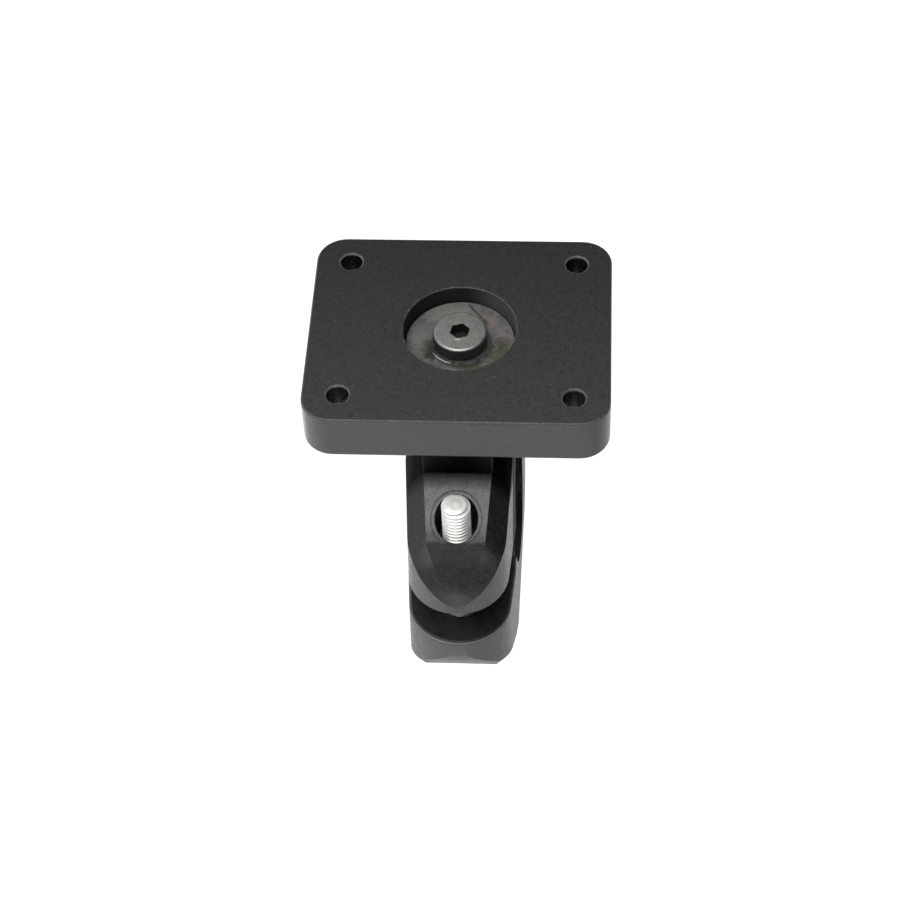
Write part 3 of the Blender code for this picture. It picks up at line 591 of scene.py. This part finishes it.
def jaw_material():
    look = settings().jaws
    material, tree, shader = start_material("jaw_moulding", look.roughness)
    shader.inputs["Specular IOR Level"].default_value = look.gloss
    parts = tree.split(tree.place)
    grain = tree.group("moulded_grain", Grain=look.grain, Mottle_Size=1.0 * MM)
    specks = tree.mask("dust", Spacing=0.9 * MM, Speck=0.13, Share=0.35)
    ring = tree.mask("ring", Axis=(*BOLT_AXIS, 0.0), Inner=look.ring, Outer=look.ring + 0.1 * MM,
                     Floor=10.0 * MM)
    groove = tree.times(ring, tree.range(parts["Y"], CROWN_END - 0.2 * MM, CROWN_END + 0.4 * MM))
    # Painted shade under the plate: the pedestal's foot is painted near black.
    plate_shade = tree.mask("zone", Low=PLATE_SHADE_LOW, High=PLATE_SHADE_HIGH, Soft=2.8 * MM)
    deep_plate_shade = tree.times(plate_shade, 0.94)
    # Painted light: a lighter band on the steep front just below the facet's bend, under the bore.
    crease_light = tree.mask("zone", Low=CREASE_LIGHT_LOW, High=CREASE_LIGHT_HIGH, Soft=2.0 * MM)
    # Painted light on the lower jaw's front chamfer, a painted highlight line at its foot and a painted shade
    # line under it.
    lip = tree.mask("zone", Low=(-FAR, -FAR, LIP_LOW), High=(FAR, LIP_BACK, LIP_HIGH), Soft=0.05 * MM)
    bright = tree.mask("zone", Low=(-FAR, -FAR, LIP_LOW), High=(FAR, LIP_BACK, LIP_LOW + 0.14 * MM),
                       Soft=0.04 * MM)
    under = tree.mask("zone", Low=(-FAR, -FAR, LIP_LOW - 0.16 * MM), High=(FAR, LIP_BACK, LIP_LOW),
                      Soft=0.04 * MM)
    flank = tree.mask("zone", Low=(FLANK_SIDE, -FAR, 0.0), High=(FAR, FAR, FLANK_TOP), Soft=0.05 * MM)
    field_shade = shaded_field(tree, parts)
    base = tree.mix(grain["Mottle"], lighter(look.body, 0.6), lighter(look.body, 1.4))
    # Darker: the groove round the bore, and painted shade on the pedestal, on the pointed field and under the
    # lip.
    dark = tree.most(tree.times(groove, 0.8), deep_plate_shade, field_shade, under)
    base = tree.laid_over(base, (specks, 0.45, look.dust), (lip, 1.0, lighter(look.lip, 0.6)),
                          (bright, 1.0, lighter(look.lip, 4.4)), (crease_light, 1.0, lighter(look.body, 3.0)),
                          (dark, 1.0, lighter(look.body, 0.15)))
    tree.feed(shader, "Base Color", base)
    veiled = tree.most(tree.times(under, 0.9), tree.times(flank, 0.75))
    tree.feed(shader, "Roughness", tree.most(tree.spread(grain, look.roughness, 0.05, 0.08), veiled))
    # Metallic on the painted shade of the pedestal, and a little on the pointed field, darkens them further.
    tree.feed(shader, "Metallic", tree.most(deep_plate_shade, tree.times(field_shade, 0.12)))
    bent = leaned_normal(tree, parts, plate_shade, look.crown)
    cut = tree.bump(tree.times(groove, -1.0), 0.09 * MM, 0.7, bent)
    tree.feed(shader, "Normal", tree.bump(grain["Height"], 0.06 * MM, 0.8, cut))
    return material


def rubber_material():
    look = settings().liners
    material, tree, shader = start_material("liner_rubber_finish", look.roughness)
    grain = tree.group("moulded_grain", Grain=0.4 * MM, Mottle_Size=3.0 * MM)
    tree.feed(shader, "Base Color", tree.mix(grain["Mottle"], look.body, lighter(look.body, 1.8)))
    tree.feed(shader, "Normal", tree.bump(grain["Height"], 0.03 * MM, 0.5))
    return material


def metal_material(name, tone, roughness, metallic=1.0, axis=(0.0, 0.0), depth=0.004 * MM, grime=None,
                   face=None):
    """Turned metal with a faint cloud of colour and turning marks.

    grime gives a colour for the roots of a thread, their radius and their top; face gives the radius and the
    height of a dull end face.
    """
    material, tree, shader = start_material(name, roughness, metallic)
    axis = (*axis, 0.0)
    marks = tree.group("turning_marks", Axis=axis, Spacing=0.06 * MM)
    grain = tree.group("moulded_grain", Grain=0.12 * MM, Mottle_Size=1.6 * MM)
    base = tree.mix(grain["Mottle"], lighter(tone, 0.90), lighter(tone, 1.06))
    if grime:
        darkening, reach, top = grime
        roots = tree.mask("ring", Axis=axis, Inner=0.0, Outer=reach, Soft=0.15 * MM)
        below = tree.math("LESS_THAN", tree.split(tree.place)["Z"], top)
        base = tree.laid_over(base, (tree.times(roots, below), 0.7, darkening))
    if face:
        reach, height = face
        flat = tree.mask("ring", Axis=axis, Inner=0.0, Outer=reach, Floor=height, Soft=0.2 * MM)
        dent = tree.mask("ring", Axis=axis, Inner=0.75 * MM, Outer=0.85 * MM, Floor=height, Soft=0.2 * MM)
        base = tree.laid_over(base, (flat, 0.8, lighter(tone, 0.76)), (dent, 0.7, lighter(tone, 0.60)))
    tree.feed(shader, "Base Color", base)
    tree.feed(shader, "Roughness", tree.spread(grain, roughness, 0.05, 0.08))
    fine = tree.bump(grain["Height"], depth, 0.4)
    tree.feed(shader, "Normal", tree.bump(marks["Height"], depth, 0.6, fine))
    return material


def head_material(sizes):
    """Steel of the low head, bright on top, with painted shade on its side and in its socket."""
    tone = sizes.steel
    material, tree, shader = start_material("screw_steel", sizes.roughness, 1.0)
    top = SCREW_HIGH.z
    marks = tree.group("turning_marks", Axis=(*SCREW_AXIS, 0.0), Spacing=0.07 * MM)
    grain = tree.group("moulded_grain", Grain=0.14 * MM, Mottle_Size=1.2 * MM)
    specks = tree.mask("dust", Spacing=0.55 * MM, Speck=0.16, Share=0.4)
    reach = sizes.flats / math.sqrt(3.0) + 0.1 * MM
    # Painted shade in the socket and on the head's side.
    socket = tree.mask("zone", Low=(-reach, -reach, 0.0), High=(reach, reach, top - 0.02 * MM),
                       Soft=0.02 * MM)
    side = tree.mask("zone", Low=(-FAR, -FAR, 0.0), High=(FAR, FAR, top - 0.75 * sizes.rounding),
                     Soft=0.3 * MM)
    # Painted highlight at the near edge of the socket.
    socket_highlight = tree.mask("stain", Centre=(-0.3 * MM, -1.9 * MM, top), Size=(0.7 * MM, 0.35 * MM, 1.0 * MM),
                      Wander=0.2)
    base = tree.mix(grain["Mottle"], lighter(tone, 0.92), lighter(tone, 1.05))
    base = tree.laid_over(base, (specks, 0.5, lighter(tone, 0.4)), (socket_highlight, 1.0, lighter(tone, 2.0)))
    # Painted reflection: the head's side is painted lighter towards the right.
    lit = tree.range(tree.split(tree.place)["X"], 1.0 * MM, 4.0 * MM)
    gloom = tree.mix(tree.times(lit, side), lighter(tone, 0.28), lighter(tone, 0.42))
    gloom = tree.mix(socket, gloom, lighter(tone, 0.15))
    dark = tree.most(socket, side)
    tree.feed(shader, "Base Color", tree.mix(dark, base, gloom))
    tree.feed(shader, "Roughness",
              tree.most(tree.spread(grain, sizes.roughness, 0.05, 0.06), tree.times(dark, 0.6)))
    fine = tree.bump(grain["Height"], 0.004 * MM, 0.4)
    tree.feed(shader, "Normal", tree.bump(marks["Height"], 0.003 * MM, 0.5, fine))
    return material


def scratch_place(tree):
    """Place turned so that the disc's scratch runs along X through zero."""
    turn = math.radians(SCRATCH_TURN)
    away = tree.split(tree.vector("SUBTRACT", tree.place, (*SCRATCH_PLACE, 0.0)))
    along = tree.math("ADD", tree.times(away["X"], math.cos(turn)), tree.times(away["Y"], math.sin(turn)))
    across = tree.math("SUBTRACT", tree.times(away["Y"], math.cos(turn)),
                       tree.times(away["X"], math.sin(turn)))
    return tree.add("ShaderNodeCombineXYZ", X=along, Y=across).outputs[0]


def disc_material():
    look = settings().disc
    material, tree, shader = start_material("disc_stained_steel", look.roughness, look.metal)
    grain = tree.group("moulded_grain", Grain=0.2 * MM, Mottle_Size=1.5 * MM)
    marks = tree.group("turning_marks", Spacing=0.09 * MM)
    base = tree.mix(grain["Mottle"], lighter(look.steel, 0.78), lighter(look.steel, 1.1))
    for tone, centre, size, wander, strength in DISC_PATCHES:
        patch = tree.mask("stain", Centre=(*(part * MM for part in centre), DISC_TOP),
                          Size=(*(part * MM for part in size), 3.0 * MM), Wander=wander)
        base = tree.laid_over(base, (patch, strength, getattr(look, tone)))
    # A darker ring round the head's foot, wider towards the front.
    darkening = tree.mask("ring", Axis=(0.3 * MM, -0.9 * MM, 0.0), Inner=3.2 * MM, Outer=4.9 * MM, Soft=0.6 * MM)
    scratch = tree.mask("zone", Place=scratch_place(tree), Low=(-2.8 * MM, -0.20 * MM, -FAR),
                        High=(2.8 * MM, 0.20 * MM, FAR), Soft=0.32 * MM)
    # Painted highlight: a bright arc on the disc at the head's front left.
    rim = tree.mask("ring", Inner=5.08 * MM, Outer=5.2 * MM, Soft=0.08 * MM)
    rim_span = tree.mask("zone", Low=(-4.2 * MM, -6.0 * MM, -FAR), High=(-1.5 * MM, -2.7 * MM, FAR),
                         Soft=0.6 * MM)
    base = tree.laid_over(base, (darkening, 0.85, look.dark), (scratch, 0.75, look.dark),
                          (tree.times(rim, rim_span), 1.0, look.bright))
    tree.feed(shader, "Base Color", base)
    tree.feed(shader, "Roughness", tree.spread(grain, look.roughness, 0.05, 0.08))
    fine = tree.bump(grain["Height"], 0.006 * MM, 0.5)
    tree.feed(shader, "Normal", tree.bump(marks["Height"], 0.003 * MM, 0.5, fine))
    return material


def floor_material():
    """Pale floor that keeps the shadow and looks white to the camera and in reflections."""
    look = settings().stage
    material, tree, shader = start_material("floor_white", 0.9)
    shader.inputs["Specular IOR Level"].default_value = 0.0
    parts = tree.split(tree.place)
    cloud = tree.noise(tree.place, 3.0, 2.0, 0.5)
    tree.feed(shader, "Base Color", tree.mix(cloud, look.floor, lighter(look.floor, 1.02)))
    path = tree.add("ShaderNodeLightPath").outputs
    mirrored = tree.most(path["Is Glossy Ray"], path["Is Transmission Ray"])
    back_right = tree.math("ADD", parts["Y"], tree.times(parts["X"], 0.5))
    fade = tree.range(back_right, *GLOW_FADE, look.glow, look.far_glow)
    back_left = tree.times(tree.range(parts["Y"], *BACK_LEFT_Y), tree.range(parts["X"], *BACK_LEFT_X))
    shine = tree.times(mirrored, tree.most(fade, back_left))
    seen = tree.math("ADD", shine, tree.times(path["Is Camera Ray"], look.white))
    glow = tree.add("ShaderNodeEmission", Strength=seen)
    total = tree.add("ShaderNodeAddShader")
    tree.feed(total, 0, shader.outputs[0])
    tree.feed(total, 1, glow.outputs[0])
    tree.feed(tree.nodes["Material Output"], "Surface", total.outputs[0])
    return material


# Mesh helpers


def link(name, mesh, material):
    """Object for a mesh, linked to the scene with its material."""
    piece = bpy.data.objects.new(name, mesh)
    bpy.context.scene.collection.objects.link(piece)
    mesh.materials.clear()
    mesh.materials.append(material)
    return piece


def finish_mesh(name, shape):
    bmesh.ops.recalc_face_normals(shape, faces=shape.faces)
    mesh = bpy.data.meshes.new(name)
    shape.to_mesh(mesh)
    shape.free()
    return mesh


def shade(piece, angle=math.radians(30.0)):
    piece.data.shade_smooth()
    piece.data.set_sharp_from_angle(angle=angle)


def cut_away(piece, tool):
    """Cut a tool from a piece, as plain mesh, and delete the tool."""
    step = piece.modifiers.new(tool.name, "BOOLEAN")
    step.operation = "DIFFERENCE"
    step.solver = "EXACT"
    step.object = tool
    graph = bpy.context.evaluated_depsgraph_get()
    mesh = bpy.data.meshes.new_from_object(piece.evaluated_get(graph))
    piece.modifiers.clear()
    piece.data = mesh
    bpy.data.objects.remove(tool, do_unlink=True)


def joined_copy(node, name, material):
    """Copy of a frame piece with its flat faces joined up."""
    mesh = NODES[node].data.copy()
    if "custom_normal" in mesh.attributes:
        mesh.attributes.remove(mesh.attributes["custom_normal"])
    shape = bmesh.new()
    shape.from_mesh(mesh)
    bmesh.ops.remove_doubles(shape, verts=shape.verts, dist=WELD)
    bmesh.ops.dissolve_limit(shape, angle_limit=FLAT_TURN, verts=shape.verts, edges=shape.edges)
    piece = link(name, finish_mesh(name, shape), material)
    shade(piece, SHARP_TURN)
    return piece


def ring_verts(shape, radius, height, steps, axis):
    return [shape.verts.new((axis[0] + radius * math.cos(2 * math.pi * i / steps),
                             axis[1] + radius * math.sin(2 * math.pi * i / steps), height))
            for i in range(steps)]


def bridge(shape, first, second):
    """Faces between two rings."""
    count = len(first)
    for i in range(count):
        j = (i + 1) % count
        shape.faces.new((first[i], first[j], second[j], second[i]))


def turned_mesh(name, profile, axis, steps=64, ripple=None):
    """Solid of revolution; ripple gives the depth and count of grooves on rings marked True."""
    shape = bmesh.new()
    rings = []
    for radius, height, grooved in profile:
        ring = ring_verts(shape, radius, height, steps, axis)
        if grooved and ripple:
            depth, count = ripple
            for i, vert in enumerate(ring):
                phase = 0.5 - 0.5 * math.cos(2 * math.pi * count * i / steps)
                inset = 1.0 - depth * phase / radius
                vert.co.x = axis[0] + (vert.co.x - axis[0]) * inset
                vert.co.y = axis[1] + (vert.co.y - axis[1]) * inset
        rings.append(ring)
    for first, second in zip(rings, rings[1:]):
        bridge(shape, first, second)
    shape.faces.new(rings[0])
    shape.faces.new(rings[-1])
    return finish_mesh(name, shape)


def thread_mesh(name, radius, pitch, base, top, tip_radius, tip_length, axis, steps=64):
    """Screw thread from base to top with a coned tip, drawn along its own helix."""
    depth = THREAD_DEPTH * pitch
    root = radius - depth
    count = len(THREAD_OUTLINE)
    rows = int((top - base) / pitch + 2) * count
    shape = bmesh.new()
    columns = []
    for i in range(steps):
        turn = i / steps
        angle = 2 * math.pi * turn
        column = []
        for j in range(-count, rows):
            along, inward = THREAD_OUTLINE[j % count]
            height = min(max(base + (j // count + along + turn) * pitch, base), top)
            limit = tip_radius + (top - height) * (radius - tip_radius) / tip_length
            reach = root if height <= base else min(radius - inward * depth, limit)
            column.append(shape.verts.new((axis[0] + reach * math.cos(angle), axis[1] + reach * math.sin(angle),
                                           height)))
        columns.append(column)
    for i in range(steps):
        first = columns[i]
        second = columns[(i + 1) % steps]
        shift = count if i == steps - 1 else 0
        for j in range(len(first) - 1 - shift):
            shape.faces.new((first[j], second[j + shift], second[j + 1 + shift], first[j + 1]))
    bmesh.ops.remove_doubles(shape, verts=shape.verts, dist=0.0005 * MM)
    bmesh.ops.dissolve_degenerate(shape, edges=shape.edges, dist=0.0005 * MM)
    bmesh.ops.holes_fill(shape, edges=[edge for edge in shape.edges if edge.is_boundary])
    return finish_mesh(name, shape)


def hexagon_tool(name, flats, start, end, axis, turn=0.0):
    """Hexagonal prism for a key socket."""
    radius = flats / math.sqrt(3.0)
    shape = bmesh.new()
    bmesh.ops.create_cone(shape, cap_ends=True, segments=6, radius1=radius, radius2=radius,
                          depth=abs(end - start))
    shape.transform(Matrix.Translation((axis[0], axis[1], (start + end) / 2)) @ Matrix.Rotation(turn, 4, "Z"))
    tool = bpy.data.objects.new(name, finish_mesh(name, shape))
    bpy.context.scene.collection.objects.link(tool)
    return tool


def quarter_round(radius, height, rounding, steps=6):
    """Points of a rounded rim from the flat top down to the side, as radius and height."""
    points = []
    for i in range(steps + 1):
        angle = math.pi / 2 * i / steps
        points.append((radius - rounding * (1 - math.sin(angle)), height - rounding * (1 - math.cos(angle))))
    return points


def settle_on(piece, body, node):
    """Let the piece ride on its body in place of a frame node, which is hidden."""
    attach(piece, body)
    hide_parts(node)


# Operators


class MOUNT_OT_plate(bpy.types.Operator):
    """Build the mounting plate"""

    bl_idname = "clamp_mount.plate"
    bl_label = "Mounting plate"

    def execute(self, context):
        piece = joined_copy("mounting_plate", "plate_moulding", plate_material())
        settle_on(piece, "plate", "mounting_plate")
        return {"FINISHED"}


class MOUNT_OT_jaws(bpy.types.Operator):
    """Build the upper and the lower jaw"""

    bl_idname = "clamp_mount.jaws"
    bl_label = "Jaws"

    def execute(self, context):
        material = jaw_material()
        for node, body in (("upper_jaw", "upper_clamp"), ("lower_jaw", "lower_clamp")):
            settle_on(joined_copy(node, node + "_moulding", material), body, node)
        return {"FINISHED"}


class MOUNT_OT_liners(bpy.types.Operator):
    """Build the two rubber liners"""

    bl_idname = "clamp_mount.liners"
    bl_label = "Liners"

    def execute(self, context):
        material = rubber_material()
        for node, body in (("upper_liner", "upper_clamp"), ("lower_liner", "lower_clamp")):
            settle_on(joined_copy(node, node + "_moulding", material), body, node)
        return {"FINISHED"}


class MOUNT_OT_disc(bpy.types.Operator):
    """Build the stained steel disc"""

    bl_idname = "clamp_mount.disc"
    bl_label = "Steel disc"

    def execute(self, context):
        piece = joined_copy("plate_disc", "disc_turned", disc_material())
        settle_on(piece, "upper_clamp", "plate_disc")
        return {"FINISHED"}


class MOUNT_OT_plate_screw(bpy.types.Operator):
    """Build the low-head screw in the middle of the plate"""

    bl_idname = "clamp_mount.plate_screw"
    bl_label = "Plate screw"

    def execute(self, context):
        sizes = settings().screw
        radius = (SCREW_HIGH.x - SCREW_LOW.x) / 2
        top = SCREW_HIGH.z
        seat = DISC_TOP + 0.3 * MM
        cone = 0.2 * MM
        neck = sizes.shank - cone
        material = head_material(sizes)
        profile = [(reach, height, False) for reach, height in quarter_round(radius, top, sizes.rounding)]
        profile += [(radius, seat, False), (neck, seat, False)]
        head = link("plate_screw_head", turned_mesh("plate_screw_head", profile, SCREW_AXIS), material)
        cut_away(head, hexagon_tool("screw_socket", sizes.flats, top - sizes.depth, top + 1.0 * MM, SCREW_AXIS,
                                    sizes.turn))
        shade(head)
        settle_on(head, "upper_clamp", "plate_screw")
        mesh = thread_mesh("plate_screw_thread", sizes.shank, sizes.pitch, SCREW_LOW.z, seat, neck, cone,
                           SCREW_AXIS)
        thread = link("plate_screw_thread", mesh, material)
        shade(thread)
        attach(thread, "upper_clamp")
        return {"FINISHED"}


class MOUNT_OT_clamp_bolt(bpy.types.Operator):
    """Build the clamp bolt with its thread and knurled head"""

    bl_idname = "clamp_mount.clamp_bolt"
    bl_label = "Clamp bolt"

    def execute(self, context):
        sizes = settings().bolt
        foot = BOLT_LOW.z
        top = BOLT_HIGH.z
        under_head = foot + sizes.head
        radius = (BOLT_HIGH.x - BOLT_LOW.x) / 2
        material = metal_material("bolt_zinc", sizes.zinc, sizes.roughness, sizes.metal, axis=BOLT_AXIS,
                                  depth=0.002 * MM,
                                  grime=(sizes.grime, sizes.shank - 0.40 * MM, top - sizes.lead),
                                  face=(sizes.tip - 0.2 * MM, top - 0.05 * MM))
        mesh = thread_mesh("clamp_bolt_thread", sizes.shank, sizes.pitch, under_head, top, sizes.tip,
                           sizes.lead, BOLT_AXIS)
        thread = link("clamp_bolt_thread", mesh, material)
        shade(thread)
        settle_on(thread, "bolt", "clamp_bolt")
        edge = 0.4 * MM
        chamfer = 0.25 * MM
        profile = [(sizes.shank - 0.5 * MM, under_head, False), (radius - chamfer, under_head, False),
                   (radius, under_head - chamfer, True), (radius, foot + edge + 0.2 * MM, True),
                   (radius, foot + edge, False), (radius - edge, foot, False)]
        mesh = turned_mesh("clamp_bolt_head", profile, BOLT_AXIS, sizes.knurls * 4,
                           (sizes.knurl, sizes.knurls))
        head = link("clamp_bolt_head", mesh, material)
        cut_away(head, hexagon_tool("bolt_socket", sizes.flats, foot - 1.0 * MM, foot + sizes.depth,
                                    BOLT_AXIS))
        shade(head)
        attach(head, "bolt")
        return {"FINISHED"}


class MOUNT_OT_small_parts(bpy.types.Operator):
    """Build the washer, the threaded inserts and the hinge pin"""

    bl_idname = "clamp_mount.small_parts"
    bl_label = "Washer, inserts and pin"

    def execute(self, context):
        zinc = metal_material("washer_zinc", settings().bolt.zinc, 0.4, 0.5, axis=BOLT_AXIS)
        dark = metal_material("insert_dark_steel", INSERT_STEEL, 0.45)
        pin = metal_material("pin_steel", PIN_STEEL, 0.38)
        for node, body, name, material, slot in (
                ("bolt_washer", "bolt_carriage", "washer_turned", zinc, "zinc_plate"),
                ("bolt_insert", "upper_clamp", "bolt_insert_turned", dark, "insert_steel"),
                ("plate_insert", "upper_clamp", "plate_insert_turned", dark, "insert_steel"),
                ("hinge_pin", "upper_clamp", "hinge_pin_turned", pin, "dark_steel")):
            settle_on(joined_copy(node, name, material), body, node)
        return {"FINISHED"}


class MOUNT_OT_stage(bpy.types.Operator):
    """Build the floor, the lamp, the world and the camera"""

    bl_idname = "clamp_mount.stage"
    bl_label = "Stage"

    def execute(self, context):
        look = settings().stage
        shape = bmesh.new()
        bmesh.ops.create_grid(shape, x_segments=1, y_segments=1, size=look.reach)
        floor = link("floor", finish_mesh("floor", shape), floor_material())
        floor.location.z = CAD_LOW.z - look.drop
        self.lamp(look.overhead)
        self.world(look.dim_side, look.bright_side)
        self.camera()
        context.scene.view_settings.view_transform = "Standard"
        return {"FINISHED"}

    def lamp(self, power):
        data = bpy.data.lights.new("overhead", "AREA")
        data.shape = "SQUARE"
        data.size = LAMP_WIDTH
        data.energy = power
        lamp = bpy.data.objects.new("overhead", data)
        lamp.location = LAMP_PLACE
        lamp.rotation_euler = (LAMP_TARGET - LAMP_PLACE).to_track_quat("-Z", "Y").to_euler()
        bpy.context.scene.collection.objects.link(lamp)

    def world(self, dim, bright):
        """Grey studio that is dim at the front right and brighter at the back left."""
        world = bpy.data.worlds.new("soft_grey")
        world.use_nodes = True
        tree = Tree(world.node_tree)
        backing = tree.nodes["Background"]
        backing.inputs["Color"].default_value = (1.0, 1.0, 1.0, 1.0)
        way = tree.add("ShaderNodeTexCoord").outputs["Generated"]
        grey = tree.range(tree.measure("DOT_PRODUCT", way, STUDIO_BRIGHT_WAY), *STUDIO_FADE, dim, bright)
        path = tree.add("ShaderNodeLightPath").outputs
        tree.feed(backing, "Strength", tree.most(grey, path["Is Camera Ray"]))
        bpy.context.scene.world = world

    def camera(self):
        data = bpy.data.cameras.new("camera")
        data.lens = CAMERA_LENS
        data.sensor_width = SENSOR_WIDTH
        data.clip_start = 0.01
        data.clip_end = 50.0
        camera = bpy.data.objects.new("camera", data)
        turn = Matrix((CAMERA_RIGHT, -CAMERA_DOWN, -CAMERA_AHEAD)).transposed().to_4x4()
        camera.matrix_world = Matrix.Translation(CAMERA_PLACE) @ turn
        bpy.context.scene.collection.objects.link(camera)
        bpy.context.scene.camera = camera


OPERATORS = (MOUNT_OT_stage, MOUNT_OT_plate, MOUNT_OT_disc, MOUNT_OT_plate_screw, MOUNT_OT_jaws,
             MOUNT_OT_liners, MOUNT_OT_clamp_bolt, MOUNT_OT_small_parts)


class MOUNT_PT_panel(bpy.types.Panel):
    """Sidebar panel with the mount's settings and build steps"""

    bl_idname = "MOUNT_PT_panel"
    bl_label = "Pipe Clamp Mount"
    bl_space_type = "VIEW_3D"
    bl_region_type = "UI"
    bl_category = "Clamp Mount"

    def draw(self, context):
        layout = self.layout
        for operator in OPERATORS:
            layout.operator(operator.bl_idname)
        chosen = settings()
        for part in ("plate", "jaws", "liners", "disc", "screw", "bolt", "stage"):
            box = layout.box()
            group = getattr(chosen, part)
            box.label(text=chosen.bl_rna.properties[part].name)
            for field in group.__annotations__:
                box.prop(group, field)


CLASSES = (PlateLook, JawLook, LinerLook, DiscLook, ScrewSizes, BoltSizes, StageLook, MountSettings,
           *OPERATORS, MOUNT_PT_panel)


def register():
    for item in CLASSES:
        bpy.utils.register_class(item)
    bpy.types.Scene.clamp_mount = PointerProperty(type=MountSettings)


def unregister():
    del bpy.types.Scene.clamp_mount
    for item in reversed(CLASSES):
        bpy.utils.unregister_class(item)


def main():
    register()
    bpy.ops.clamp_mount.stage()
    bpy.ops.clamp_mount.plate()
    bpy.ops.clamp_mount.disc()
    bpy.ops.clamp_mount.plate_screw()
    bpy.ops.clamp_mount.jaws()
    bpy.ops.clamp_mount.liners()
    bpy.ops.clamp_mount.clamp_bolt()
    bpy.ops.clamp_mount.small_parts()


if __name__ == "__main__":
    main()
